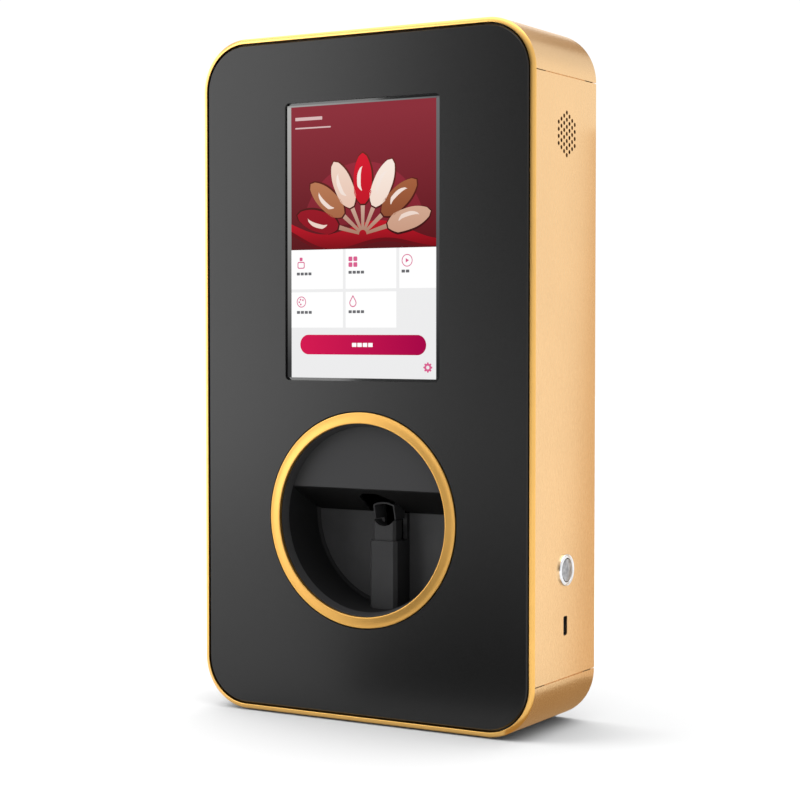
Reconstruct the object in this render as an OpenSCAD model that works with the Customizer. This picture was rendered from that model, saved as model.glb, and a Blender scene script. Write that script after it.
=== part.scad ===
// Digital nail art printer: an upright cabinet with a screen above a round finger port.
// X runs to the right as seen from the front, Y to the back and Z up. The origin is the centre
// of the base pad's underside, half way between the trim's outer edge and the back.

/* [Housing] */
// Width across the gold side panels
body_w = 268; // [264:1:276]
// Height of the housing above its base pad
body_h = 480; // [476:1:490]
// Depth from the trim's outer edge to the back
body_d = 92; // [92:1:96]
// Outer radius of the four corners, seen from the front
corner_r = 36; // [32:1:40]
// Thickness of the gold wrap
wall = 2.5; // [2:0.1:3]
// Thickness of the rubber pad under the housing
pad_t = 1; // [0.6:0.1:2]
// Width of the open seams between the caps and the side panels
seam_gap = 0.6; // [0.1:0.1:0.6]

/* [Front] */
// Width of the rounded gold trim
trim_w = 3.8; // [3:0.1:4.5]
// Height of the trim's crest above its outer edge
trim_rise = 2.2; // [1.5:0.1:2.6]
// Width of the dark groove between trim and panel
groove_w = 0.9; // [0.5:0.1:1.2]
// Thickness of the black front panel
panel_t = 2.2; // [1.8:0.1:2.4]
// Bevel along the panel's outer edge
panel_bevel = 0.9; // [0.3:0.1:0.9]

/* [Screen] */
// Width of the panel's screen opening
screen_w = 125.2; // [120:0.1:126]
// Height of the panel's screen opening
screen_h = 194.7; // [188:0.1:196]
// Height of the screen's centre above the housing's bottom
screen_at = 334.85; // [332:0.05:336]
// Corner radius of the screen's opening
screen_r = 3.5; // [2:0.1:5]

/* [Finger port] */
// Height of the port's centre above the housing's bottom
port_at = 141; // [138:0.5:143]
// Outer diameter of the gold ring
ring_od = 150; // [148:0.5:152]
// Inner diameter of the gold ring
ring_id = 134.5; // [133:0.5:136]
// Width of the dark groove between ring and panel
ring_gap = 0.9; // [0.3:0.1:1.2]
// How far the ring stands in front of the panel
ring_proud = 1.3; // [0.8:0.1:2]
// Radius of the port tube's wall
tube_r = 65.5; // [65:0.1:66]
// Depth of the port's back wall behind the trim's outer edge
port_depth = 45; // [44:0.5:46]
// Depth of the hood's face behind the trim's outer edge
hood_set = 6; // [5:0.5:7]
// Height of the hood's front edge above the port's centre
hood_front = 21.4; // [20:0.1:23]
// Height of the hood's rear edge above the port's centre
hood_rear = 2.3; // [1:0.1:3]

/* [Finger rest] */
// Width of the fixed post
post_w = 22.4; // [22:0.1:23]
// Depth of the post's front behind the trim's outer edge
post_set = 26.5; // [26:0.5:27]
// Height of the post's shoulder above the housing's bottom
post_top = 124; // [122:0.5:125]
// Height of the cradle's lips above the housing's bottom
cradle_top = 138.7; // [138:0.1:138.8]
// Depth of the cradle's groove
groove_d = 4.3; // [3:0.1:5]
// Radius of the cradle's groove
groove_r = 9.5; // [9:0.1:11]
// How far the cradle sinks under a thick finger
cradle_travel = 8; // [4:0.5:8]

/* [Print engine] */
// Front-to-back travel of the print stage
stage_travel = 14; // [10:0.5:14]
// Side-to-side travel of the ink carriage
carriage_travel = 80; // [60:1:80]
// Radius of the stage's rods and of the carriage's lower rod
rod_r = 4; // [3.5:0.1:4.2]
// Radius of the carriage's upper rod
upper_rod_r = 3; // [2.5:0.1:3.2]
// Radius of the belt pulleys
pulley_r = 6; // [5.5:0.1:6.4]
// Radial clearance of every running fit
running_fit = 0.05; // [0.03:0.01:0.09]

/* [Side fittings] */
// Depth of the side fittings' centre line behind the trim's outer edge
fitting_set = 45.6; // [45:0.1:47]
// Height of the speaker holes' centre above the housing's bottom
speaker_at = 405; // [395:0.5:410]
// Diameter of one speaker hole
speaker_hole = 2.9; // [1.6:0.1:3.1]
// Distance between speaker holes in a column
speaker_pitch = 4.75; // [4.5:0.05:5]
// Height of the power button above the housing's bottom
button_at = 110; // [100:0.5:112]
// Diameter of the button's chrome bezel
bezel_d = 22; // [21:0.5:24]
// Travel of the power button
button_travel = 1.5; // [1:0.1:2]
// Height of the USB slot above the housing's bottom
usb_at = 72; // [60:0.5:76]
// Height of the USB slot
usb_h = 13.2; // [12.8:0.1:14]
// Width of the USB slot
usb_w = 5.8; // [5.4:0.1:6.4]

/* [Rear] */
// Width of the rear hatch
hatch_w = 150; // [140:1:156]
// Height of the rear hatch
hatch_h = 84; // [80:1:86]
// Spacing of the four wall-mount screw holes
wall_mount = 100; // [75:25:100]
// Thickness of the rear cover
cover_t = 2; // [1.5:0.1:2.5]

/* [Hidden] */
$fn = 96;

gold = "#e6bd7c";
trim_gold = "#e3a93f";
black = "#2b2b2d";
deep_black = "#161617";
steel = "#a9adb0";
chrome = "#dfe3e6";
board_green = "#2f6b46";
rubber = "#232323";
clear_black = "#0d0f12";
cream = "#ded8c8";

// Planes of the housing
bottom_z = pad_t;
top_z = bottom_z + body_h;
mid_z = bottom_z + body_h / 2;
front_y = -body_d / 2;
back_y = body_d / 2;
seam_low_z = bottom_z + corner_r;
seam_high_z = top_z - corner_r;
inner_x = body_w / 2 - wall;

// Stack behind the front face
panel_face_y = front_y - trim_rise;
panel_back_y = panel_face_y + panel_t;
chassis_t = 2;
chassis_y = front_y + 3;
chassis_back_y = chassis_y + chassis_t;
panel_inset = trim_w + groove_w;
flange_w = 10;
flange_t = 2;
cover_y = back_y - cover_t;

// Screen stack
screen_z = bottom_z + screen_at;
glass_size = [133, 203];
glass_t = 1.1;
lcd_size = [127, 199.5];
lcd_back_y = chassis_back_y;
bracket_t = 1.5;
bracket_y = lcd_back_y + bracket_t;

// Port
port_z = bottom_z + port_at;
port_back_y = front_y + port_depth;
ring_face_y = panel_face_y - ring_proud;
tube_wall = 2.5;
mouth_r = ring_id / 2 - 0.15;
collar_r = 70.2;
tube_flange_r = 82;
tube_flange_t = 2.5;
hood_y = front_y + hood_set;
hood_t = 2.4;
hood_edge_z = port_z + hood_front;
hood_back_z = port_z + hood_rear;
hood_slope = (hood_edge_z - hood_back_z) / (port_back_y - hood_y);
slope_t = 2.2;
cut_y = chassis_back_y + tube_flange_t;
ear_angles = [-42, 0, 42];
niche_w = 17.6;
seat_depth = 0.8;
post_screw_z = [port_z - 50, port_z - 26];
flange_screw_r = 76;
ear_r = 77;

// Finger rest
post_y = front_y + post_set;
post_back_y = port_back_y + seat_depth;
shoulder_z = bottom_z + post_top;
lip_z = bottom_z + cradle_top;
post_wall = 1.7;
slide_gap = 0.3;
cradle_w = post_w - 2 * post_wall - 2 * slide_gap;
cradle_y = [post_y + post_wall + slide_gap, post_y + 12];
cradle_low_z = shoulder_z - 13;
lug_y = cradle_y[1] + 1.9;
lug_z = [cradle_low_z + 1, cradle_low_z + 5];
spring_pocket = 4;
spring_r = 3.8;
spring_wire = 0.8;
spring_low_z = cradle_low_z - cradle_travel - spring_pocket;
spring_y = (cradle_y[0] + cradle_y[1]) / 2;
guide_in = 7.6;
guide_wall = 1.1;
guide_gap = 0.5;
guide_roof_r = 20;
guide_top_z = lip_z + 12.7;
guide_slant = 2.3;
guide_foot_y = [post_back_y - 3.3, post_back_y];
guide_foot_w = 3.3;

// Print engine, placed from the port's centre and back wall
frame_x = 112;
frame_t = 2;
engine_y = [chassis_back_y, 41];
engine_z = [port_z - 9, port_z + 74];
low_rod_z = port_z + 28;
high_rod_z = port_z + 63;
belt_z = port_z + 45.5;
rod_y = port_back_y - 5.5;
stage_rod_x = 101.5;
screw_z = port_z + 56;
screw_r = 3;
block_x = [83.5, 91];
block_y = [rod_y - 5.5, rod_y + 8.5];
block_z = [low_rod_z - 7, high_rod_z + 7];
motor_tab_y = [front_y + 31.7, front_y + 33.2];
nut_l = 10;
arm_y = [block_y[0], motor_tab_y[1] + 0.8 + stage_travel + nut_l];
tie_t = 2.5;
tab_y = [[-38, -35], [35, 38]];
pulley_x = 74;
belt_t = 1.1;
belt_gap = 0.3;
belt_motor_size = 28;
boss_share = 0.3;
belt_y = [rod_y - 3, rod_y + 3];
idler_pin_r = 1.5;
shaft_r = 2.5;
far_print_x = -30;
carriage_x = far_print_x + carriage_travel;
carriage_w = 28;
nozzle_z = port_z + 11;
cartridge_y = [port_back_y + 3, port_back_y + 31];
cartridge_z = [port_z + 19, port_z + 64];
snout_y = [port_back_y + 5, port_back_y + 15];
latch_pin_y = cartridge_y[0] + 2;
latch_pin_z = cartridge_z[1] + 2.6;
latch_pin_r = 1.2;

// Side fittings
fitting_y = front_y + fitting_set;
speaker_z = bottom_z + speaker_at;
button_z = bottom_z + button_at;
usb_z = bottom_z + usb_at;
thread_r = 9.4;
plunger_r = 7.8;
plunger_l = 5;
button_bore = plunger_l + button_travel + 1.5;
button_l = 24;

// Electronics
board_t = 1.6;
board_y = [bracket_y + 6.5, bracket_y + 6.5 + board_t];
main_board_z = [bottom_z + 300, bottom_z + 385];
driver_x = [-70, 30];
driver_y = [34, 34 + board_t];
driver_z = [bottom_z + 54, bottom_z + 124];
board_hole_in = 5;
standoff_r = 2.6;
usb_peg_r = 1.2;

// Rear
hatch_z = port_z + 50;
hatch_gap = 0.5;
hatch_rim = 4;
rim_t = 1.4;
hinge_x = -(hatch_w / 2 + 3);
hinge_y = back_y + 2.2;
knuckle_r = 2.2;
knuckle_len = 15;
knuckle_gap = 0.2;
leaf_t = 1;
magnet_r = 1.6;
magnet_x = hatch_w / 2 - 1.8;
magnet_z = [hatch_z - 28, hatch_z + 28];
hinge_pin_r = 1.1;
wall_mount_z = bottom_z + 340;
wall_screw_r = 2;
inlet_x = 62;
inlet_z = bottom_z + 60;
inlet_nose_r = 4.6;
inlet_bore_r = 2.9;

// Screws
screw_shank_r = 1.5;
screw_head_r = 2.75;
screw_head_t = 1.8;
screw_hole_r = 1.55;
frame_rows_z = [mid_z - 180, mid_z - 105, mid_z + 105, mid_z + 180];
edge_screw_in = 7.5;
frame_screw_x = inner_x - edge_screw_in;
cap_screw_x = 60;
seam_screw_y = 22;
seam_screw_in = 6;

// ---- Shared shapes ----

// Solid between two depths, from a drawing in the X-Z plane
module plate(y) translate([0, y[1], 0]) rotate([90, 0, 0]) linear_extrude(y[1] - y[0]) children();

// Box between its low and high limits on each axis
module block(x, y, z) translate([x[0], y[0], z[0]]) cube([x[1] - x[0], y[1] - y[0], z[1] - z[0]]);

// Round bars along each axis
module rod_x(x, y, z, r) translate([x[0], y, z]) rotate([0, 90, 0]) cylinder(h = x[1] - x[0], r = r);
module rod_y(x, y, z, r) translate([x, y[0], z]) rotate([-90, 0, 0]) cylinder(h = y[1] - y[0], r = r);
module rod_z(x, y, z, r) translate([x, y, z[0]]) cylinder(h = z[1] - z[0], r = r);

// Its child and the mirror image of it across the plane X = 0
module both_sides() for (s = [0, 1]) mirror([s, 0, 0]) children();

// Rectangle with round corners, about its centre
module rounded(w, h, r) {
    square([w - 2 * r, h], center = true);
    square([w, h - 2 * r], center = true);
    for (i = [-1, 1], j = [-1, 1]) translate([i * (w / 2 - r), j * (h / 2 - r)]) circle(r);
}

// The housing's outline, drawn in from its outer face
module outline(inset) translate([0, mid_z])
    rounded(body_w - 2 * inset, body_h - 2 * inset, corner_r - inset);

// Turned piece about the port's axis, from a profile of radius and distance towards the front
module turned_port() translate([0, 0, port_z]) rotate([90, 0, 0]) rotate_extrude() children();

// Sweeps a profile of inset and distance towards the front once round the housing's outline
module along_outline() translate([0, 0, mid_z]) rotate([90, 0, 0]) {
    half_w = body_w / 2;
    half_h = body_h / 2;
    for (s = [0, 1]) {
        mirror([s, 0, 0]) translate([half_w, half_h - corner_r, 0]) rotate([90, 0, 0])
            linear_extrude(body_h - 2 * corner_r) mirror([1, 0]) children();
        mirror([0, s, 0]) translate([corner_r - half_w, half_h, 0]) rotate([90, 0, 90])
            linear_extrude(body_w - 2 * corner_r) mirror([1, 0]) children();
    }
    for (i = [0, 1], j = [0, 1]) mirror([i, 0, 0]) mirror([0, j, 0])
        translate([half_w - corner_r, half_h - corner_r, 0])
            rotate_extrude(angle = 90) translate([corner_r, 0]) mirror([1, 0]) children();
}

// Pan-head screw along Y with a hexagon socket; its head stands on the plane y, dir points to it
module screw_y(x, y, z, dir, length) translate([x, y, z]) rotate([90 * -dir, 0, 0]) difference() {
    union() {
        cylinder(h = screw_head_t, r = screw_head_r);
        translate([0, 0, -length]) cylinder(h = length, r = screw_shank_r);
    }
    translate([0, 0, screw_head_t / 2]) cylinder(h = screw_head_t, r = 1.3, $fn = 6);
}

// Screws of the chassis to the wrap's front flange, and of the rear cover to its rear flange
module edge_spots() {
    for (s = [-1, 1], z = frame_rows_z) translate([s * frame_screw_x, 0, z]) children();
    for (s = [-1, 1], t = [-1, 1])
        translate([s * cap_screw_x, 0, mid_z + t * (body_h / 2 - wall - edge_screw_in)]) children();
}

// ---- Housing ----

// Slice of the gold wrap between two heights, with its front and rear screw flanges
module wrap_slice(x, z) difference() {
    intersection() {
        block(x, [front_y - 1, back_y + 1], z);
        union() {
            plate([front_y, back_y]) difference() {
                outline(0);
                outline(wall);
            }
            for (y = [chassis_back_y, cover_y - flange_t]) plate([y, y + flange_t]) difference() {
                outline(wall / 2);
                outline(wall + flange_w);
            }
        }
    }
    edge_spots() rod_y(0, [front_y, back_y], 0, screw_hole_r);
}

// Inward tabs that join a cap to a side panel, with their two screw holes
module seam_tab(z) {
    tab_l = 30;
    difference() {
        block([inner_x - 2 * seam_screw_in, inner_x + wall / 2], [-tab_l, tab_l], z);
        for (y = [-seam_screw_y, seam_screw_y])
            rod_z(inner_x - seam_screw_in, y, [z[0] - 1, z[1] + 1], screw_hole_r);
    }
}

module side_shell() {
    wrap_slice([0, body_w], [seam_low_z + seam_gap, seam_high_z - seam_gap]);
    seam_tab([seam_low_z, seam_low_z + 2.3]);
    seam_tab([seam_high_z - 2.3, seam_high_z]);
}

// Speaker holes: a hexagon of staggered columns
module speaker_holes(x) {
    column_pitch = speaker_pitch * sqrt(3) / 2;
    for (c = [-3 : 3]) for (i = [0 : 6 - abs(c)])
        rod_x(x, fitting_y + c * column_pitch,
              speaker_z + (i - (6 - abs(c)) / 2) * speaker_pitch, speaker_hole / 2);
}

module usb_slot(x, grow) translate([x[0], fitting_y, usb_z]) rotate([0, 90, 0])
    linear_extrude(x[1] - x[0]) rounded(usb_h + 2 * grow, usb_w + 2 * grow, 1.4 + grow);

module side_panel_left() color(gold) mirror([1, 0, 0]) side_shell();

module side_panel_right() color(gold) difference() {
    side_shell();
    speaker_holes([inner_x - 1, body_w / 2 + 1]);
    rod_x([inner_x - 1, body_w / 2 + 1], fitting_y, button_z, thread_r + 0.2);
    usb_slot([inner_x - 1, body_w / 2 + 1], 0);
}

module cap(z, tab_z) {
    wrap_slice([-body_w, body_w], z);
    both_sides() seam_tab(tab_z);
}

module top_cap() color(gold) cap([seam_high_z, top_z + 1], [seam_high_z, seam_high_z + 2]);

module bottom_cap() color(gold) cap([bottom_z - 1, seam_low_z], [seam_low_z - 2, seam_low_z]);

module base_pad() color(rubber) linear_extrude(pad_t) rounded(176, 66, 10);

// Section of the trim's bead, from its outer to its inner edge
function bead(power, steps) = [for (i = [0 : steps]) let (a = 180 * i / steps) [
    trim_w / 2 * (1 - sign(cos(a)) * pow(abs(cos(a)), power)),
    -front_y + trim_rise * pow(sin(a), power)]];

module front_trim() color(trim_gold) along_outline() polygon(concat(bead(0.9, 12), [
    [trim_w, -chassis_y], [wall + 0.2, -chassis_y], [wall + 0.2, -front_y]]));

module front_panel() color(black) difference() {
    rib_w = 2;
    port_rib_r = 77;
    union() {
        plate([panel_face_y + panel_bevel, panel_back_y]) outline(panel_inset);
        plate([panel_face_y, panel_back_y]) outline(panel_inset + panel_bevel);
        along_outline() polygon([
            [panel_inset, -panel_back_y], [panel_inset, -panel_face_y - panel_bevel],
            [panel_inset + panel_bevel, -panel_face_y], [panel_inset + 2, -panel_face_y],
            [panel_inset + 2, -panel_back_y]]);
        plate([panel_back_y - 0.5, chassis_y]) {
            difference() {
                outline(panel_inset + 0.3);
                outline(panel_inset + 0.3 + rib_w);
            }
            translate([0, screen_z]) difference() {
                rounded(glass_size[0] + 6, glass_size[1] + 6, 4);
                rounded(glass_size[0] + 2, glass_size[1] + 2, 2);
            }
            translate([0, port_z]) difference() {
                circle(port_rib_r + rib_w);
                circle(port_rib_r);
            }
        }
    }
    plate([panel_face_y - 1, panel_back_y + 1]) {
        translate([0, screen_z]) rounded(screen_w, screen_h, screen_r);
        translate([0, port_z]) circle(ring_od / 2 + ring_gap);
    }
}

module front_chassis() color(steel) difference() {
    plate([chassis_y, chassis_back_y]) difference() {
        outline(wall + 0.2);
        translate([0, screen_z]) rounded(lcd_size[0] + 2, lcd_size[1] + 2, 2);
        translate([0, port_z]) circle(collar_r + 0.2);
    }
    edge_spots() rod_y(0, [front_y, back_y], 0, screw_hole_r);
    tube_screw_spots() rod_y(0, [front_y, front_y + 8], 0, screw_hole_r);
    bracket_screw_spots() rod_y(0, [front_y, front_y + 8], 0, screw_hole_r);
    engine_screw_spots() rod_y(0, [front_y, front_y + 8], 0, screw_hole_r);
}

// ---- Screen ----

module touch_glass() color(clear_black) plate([panel_back_y, panel_back_y + glass_t])
    translate([0, screen_z]) rounded(glass_size[0], glass_size[1], 3);

module display_gasket() color(rubber) plate([panel_back_y + glass_t, chassis_y])
    translate([0, screen_z]) difference() {
        rounded(glass_size[0], glass_size[1], 2);
        rounded(lcd_size[0] + 2, lcd_size[1] + 2, 2);
    }

module lcd_panel() color(cream) plate([panel_back_y + glass_t, lcd_back_y])
    translate([0, screen_z]) rounded(lcd_size[0], lcd_size[1], 1);

module bracket_screw_spots() for (s = [-1, 1], z = [-85, 0, 85])
    translate([s * 70, 0, screen_z + z]) children();

module display_bracket() color(steel) difference() {
    plate([lcd_back_y, bracket_y]) translate([0, screen_z]) difference() {
        rounded(150, 212, 4);
        rounded(100, 172, 3);
    }
    bracket_screw_spots() rod_y(0, [lcd_back_y - 1, bracket_y + 1], 0, screw_hole_r);
    standoff_spots_main() rod_y(0, [lcd_back_y - 1, bracket_y + 1], 0, screw_hole_r);
}

// Flat cable from the back of the display up to the main board
module display_ribbon() {
    t = 0.4;
    y0 = lcd_back_y;
    y1 = lcd_back_y + 5;
    y2 = board_y[0];
    low_z = screen_z - 70;
    high_z = main_board_z[0] + 8;
    color("#c8742c") rotate([90, 0, 90]) linear_extrude(22, center = true) polygon([
        [y0, low_z], [y1, low_z + 6], [y1, high_z - 6], [y2, high_z - t],
        [y2, high_z], [y1 - t, high_z - 5.6], [y1 - t, low_z + 6.4], [y0, low_z + t]]);
}

// ---- Finger port ----

module port_ring() color(trim_gold) turned_port() {
    bevel = 0.9;
    r0 = ring_id / 2;
    r1 = ring_od / 2;
    face = -ring_face_y;
    seat = -panel_back_y;
    polygon([
        [r0, seat + 0.6], [r0, face - bevel], [r0 + bevel, face], [r1 - bevel, face],
        [r1, face - bevel], [r1, seat], [r1 - 2, seat], [r1 - 2, -chassis_y],
        [collar_r + 0.3, -chassis_y], [collar_r + 0.3, seat + 0.6]]);
}

module tube_screw_spots() for (a = [15, 75, 105, 165, 205, 335])
    translate([flange_screw_r * cos(a), 0, port_z + flange_screw_r * sin(a)]) children();

// Prism above the underside of the hood's slope, raised by lift, from one depth to another
module above_slope(y, lift) rotate([90, 0, 90]) linear_extrude(2 * tube_flange_r, center = true)
    polygon([
        [y[0], hood_edge_z - (y[0] - hood_y) * hood_slope + lift],
        [y[1], hood_edge_z - (y[1] - hood_y) * hood_slope + lift],
        [y[1], port_z + 2 * tube_r], [y[0], port_z + 2 * tube_r]]);

module port_tube() {
    back = -port_back_y;
    fillet = 2;
    flare_back = hood_set - 0.4;
    lip_y = panel_back_y - 0.5;
    color(black) difference() {
        turned_port() polygon([
            [0, back - tube_wall], [tube_r + tube_wall, back - tube_wall],
            [tube_r + tube_wall, -cut_y], [tube_flange_r, -cut_y],
            [tube_flange_r, -chassis_back_y], [collar_r, -chassis_back_y], [collar_r, -lip_y],
            [mouth_r, -lip_y], [tube_r, -front_y - flare_back], [tube_r, back + fillet],
            [tube_r - fillet, back], [0, back]]);
        above_slope([cut_y, 2 * body_d], 0);
        block([-niche_w / 2, niche_w / 2], [port_back_y - 1, body_d], [port_z - 15, 2 * port_z]);
        block([-post_w / 2 - 0.3, post_w / 2 + 0.3], [port_back_y - fillet - 1, post_back_y],
              [port_z - tube_r, port_z + tube_r]);
        tube_screw_spots() rod_y(0, [front_y, cut_y + 1], 0, screw_hole_r);
        for (z = post_screw_z) rod_y(0, [port_back_y - 5, back_y], z, screw_hole_r);
        for (a = ear_angles) at_ear(a) rod_y(0, [chassis_back_y + 1, cut_y + 1], 0, screw_hole_r);
    }
}

// Places its child on the tube's flange, turned from straight up by an angle
module at_ear(a) translate([0, 0, port_z]) rotate([0, a, 0]) translate([0, 0, ear_r]) children();

module port_hood() color(black) difference() {
    hood_r = tube_r - 0.2;
    union() {
        plate([hood_y, hood_y + hood_t]) intersection() {
            translate([0, port_z]) circle(hood_r);
            translate([-tube_r, hood_edge_z]) square(2 * tube_r);
        }
        intersection() {
            difference() {
                above_slope([hood_y, port_back_y], 0);
                above_slope([hood_y - 1, port_back_y + 1], slope_t);
            }
            union() {
                rod_y(0, [hood_y, port_back_y], port_z, hood_r);
                rod_y(0, [cut_y + 0.2, port_back_y], port_z, tube_r + tube_wall);
            }
        }
        for (a = ear_angles) at_ear(a) block([-6, 6], [cut_y, cut_y + 2], [-16, 4]);
        for (a = ear_angles) at_ear(a) block([-6, 6], [hood_y + 1, cut_y + 2], [-16, -12]);
    }
    for (a = ear_angles) at_ear(a) rod_y(0, [cut_y - 1, cut_y + 3], 0, screw_hole_r);
    // Print window in the sloped underside, seen from above
    y = port_back_y;
    translate([0, 0, port_z - 5]) linear_extrude(hood_front + 5) polygon([
        [-9, y - 30], [2, y - 30.5], [6, y - 25], [9.5, y - 18], [9.5, y + 1], [-21, y + 1],
        [-15, y - 25]]);
}

// Black box behind the back wall that the fingertip reaches into
module nail_chamber() {
    w = niche_w / 2 + 0.6;
    t = 1.5;
    y = [port_back_y + tube_wall, port_back_y + 17];
    z = [port_z - 17, port_z + 8];
    color(deep_black) difference() {
        union() {
            block([-w - t, w + t], [y[0], y[1] + t], z);
            block([-w - 6, w + 6], [y[0], y[0] + t], [z[0] - 3, hood_back_z]);
        }
        block([-w, w], [y[0] - 1, y[1]], [port_z - 15.5, z[1] + 1]);
    }
}

// ---- Finger rest ----

module finger_post() {
    w = post_w / 2;
    cavity = w - post_wall;
    edge = 2.4;
    color(black) difference() {
        intersection() {
            linear_extrude(shoulder_z) polygon([
                [-w, post_back_y], [-w, post_y + edge], [edge - w, post_y],
                [w - edge, post_y], [w, post_y + edge], [w, post_back_y]]);
            rod_y(0, [post_y - 1, post_back_y + 1], port_z, tube_r - 0.1);
        }
        block([-cavity, cavity], [post_y + post_wall, cradle_y[1] + slide_gap],
              [spring_low_z, shoulder_z + 1]);
        block([-3.4, 3.4], [cradle_y[1], lug_y + slide_gap], [spring_low_z, lug_z[1] + slide_gap]);
        for (z = post_screw_z) rod_y(0, [post_back_y - 5, post_back_y + 1], z, screw_hole_r);
    }
}

// Fixed guide over the finger: two slanted sides under a shallow roof, on two feet on the post
module finger_guide() {
    outer = guide_in + guide_wall;
    leg_z = lip_z + guide_gap;
    y = [cradle_y[0], guide_foot_y[0] + 1];
    past_y = [y[0] - 1, y[1] + 1];
    roof_z = guide_top_z - guide_roof_r;
    slant_z = guide_top_z - 3.5;
    color(black) {
        difference() {
            intersection() {
                rod_y(0, y, roof_z, guide_roof_r);
                block([-outer, outer], y, [leg_z, guide_top_z]);
            }
            intersection() {
                rod_y(0, past_y, roof_z, guide_roof_r - guide_wall);
                block([-guide_in, guide_in], past_y, [leg_z - 1, guide_top_z]);
            }
            rotate([90, 0, 90]) linear_extrude(3 * outer, center = true) polygon([
                [y[0] - 1, slant_z], [y[0], slant_z], [y[0] + guide_slant, leg_z],
                [y[0] + guide_slant, leg_z - 1], [y[0] - 1, leg_z - 1]]);
        }
        both_sides() block([guide_in, guide_in + guide_foot_w], guide_foot_y,
                           [shoulder_z, hood_back_z - 0.6]);
    }
}

module finger_cradle() {
    w = cradle_w / 2;
    edge = 1.8;
    color(black) difference() {
        union() {
            translate([0, 0, cradle_low_z]) linear_extrude(lip_z - cradle_low_z) polygon([
                [-w, cradle_y[1]], [-w, cradle_y[0] + edge], [edge - w, cradle_y[0]],
                [w - edge, cradle_y[0]], [w, cradle_y[0] + edge], [w, cradle_y[1]]]);
            block([-3, 3], [cradle_y[1] - 0.5, lug_y], lug_z);
        }
        rod_y(0, [cradle_y[0] - 1, cradle_y[1] + 1], lip_z - groove_d + groove_r, groove_r);
        rod_z(0, spring_y, [cradle_low_z - 1, cradle_low_z + spring_pocket], spring_r + 0.4);
    }
}

module cradle_spring() color(steel) translate([0, spring_y, spring_low_z]) difference() {
    length = cradle_low_z + spring_pocket - spring_low_z;
    cylinder(h = length, r = spring_r);
    translate([0, 0, -1]) cylinder(h = length + 2, r = spring_r - spring_wire);
}

// ---- Print engine ----

module nail_camera() {
    tilt = 40;
    y = hood_y + hood_t;
    z = low_rod_z + 6;
    color(deep_black) {
        block([-4, 4], [y, y + 3], [z - 4, z + 6]);
        translate([0, y + 4.8, z]) rotate([180 + tilt, 0, 0]) {
            translate([-3.5, -3.5, -3]) cube([7, 7, 4]);
            cylinder(h = 3, r = 2.6);
        }
    }
}

module light_board() {
    y = hood_y + hood_t;
    z = hood_edge_z + 2;
    color("#e9e9e2") {
        block([-28, 28], [y, y + 1.6], [z, z + 6]);
        for (i = [-2 : 2]) block([i * 11 - 1.5, i * 11 + 1.5], [y + 1.6, y + 2.8], [z + 2, z + 5]);
    }
}

module engine_screw_spots() for (s = [-1, 1], z = [engine_z[0] + 18, engine_z[1] - 15])
    translate([s * (frame_x + frame_t + 4), 0, z]) children();

module engine_frame() {
    tab_x = [stage_rod_x - 7.5, frame_x];
    foot_w = 7;
    color(steel) difference() {
        union() {
            both_sides() {
                block([frame_x, frame_x + frame_t], engine_y, engine_z);
                block([frame_x, frame_x + frame_t + foot_w],
                      [engine_y[0], engine_y[0] + frame_t], [engine_z[0] + 8, engine_z[1] - 6]);
                for (y = tab_y) block(tab_x, y, [low_rod_z - 7, low_rod_z + 7]);
            }
            block([-tab_x[1], -tab_x[0]], tab_y[1], [low_rod_z - 7, screw_z + 7]);
            block([-frame_x, 10 - stage_rod_x], motor_tab_y, [screw_z - 11, screw_z + 11]);
            difference() {
                block([-frame_x - frame_t, frame_x + frame_t], [port_back_y + 6, engine_y[1]],
                      [engine_z[0], engine_z[0] + frame_t]);
                block([-14, 14], [port_back_y + 5, port_back_y + 22],
                      [engine_z[0] - 1, engine_z[0] + frame_t + 1]);
            }
        }
        both_sides() for (y = tab_y) rod_y(stage_rod_x, [y[0] - 1, y[1] + 1], low_rod_z, rod_r);
        rod_y(-stage_rod_x, [tab_y[1][0] - 1, tab_y[1][1] + 1], screw_z, 2 + running_fit);
        rod_y(-stage_rod_x, [motor_tab_y[0] - 1, motor_tab_y[1] + 1], screw_z, screw_r + 0.5);
        engine_screw_spots() rod_y(0, [engine_y[0] - 1, engine_y[0] + 3], 0, screw_hole_r);
    }
}

module stage_rods() color(chrome) both_sides()
    rod_y(stage_rod_x, [tab_y[0][0], tab_y[1][1]], low_rod_z, rod_r);

// Square stepper motor along Y, with a boss and a shaft hole
module stepper(x, z, size, y, boss_y, hole_r) color(deep_black) difference() {
    union() {
        plate(y) translate([x, z]) difference() {
            square(size, center = true);
            for (a = [45 : 90 : 315]) rotate(a) translate([size * 0.7, 0]) square(3, center = true);
        }
        rod_y(x, boss_y, z, size * boss_share);
    }
    rod_y(x, [y[0] + 2, max(y[1], boss_y[1]) + 1], z, hole_r);
    rod_y(x, [min(y[0], boss_y[0]) - 1, y[1] - 2], z, hole_r);
}

module stage_motor() stepper(-stage_rod_x, screw_z, 20, [front_y + 7, front_y + 31.7],
                             [front_y + 7, front_y + 31.7], 1.5 + running_fit);

module stage_screw() color(chrome) {
    start = front_y + 31.9;
    rod_y(-stage_rod_x, [start - 5, start], screw_z, 1.5);
    rod_y(-stage_rod_x, [start, tab_y[1][0] - 0.3], screw_z, screw_r);
    rod_y(-stage_rod_x, [tab_y[1][0] - 0.3, tab_y[1][1] + 0.5], screw_z, 2);
}

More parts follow.
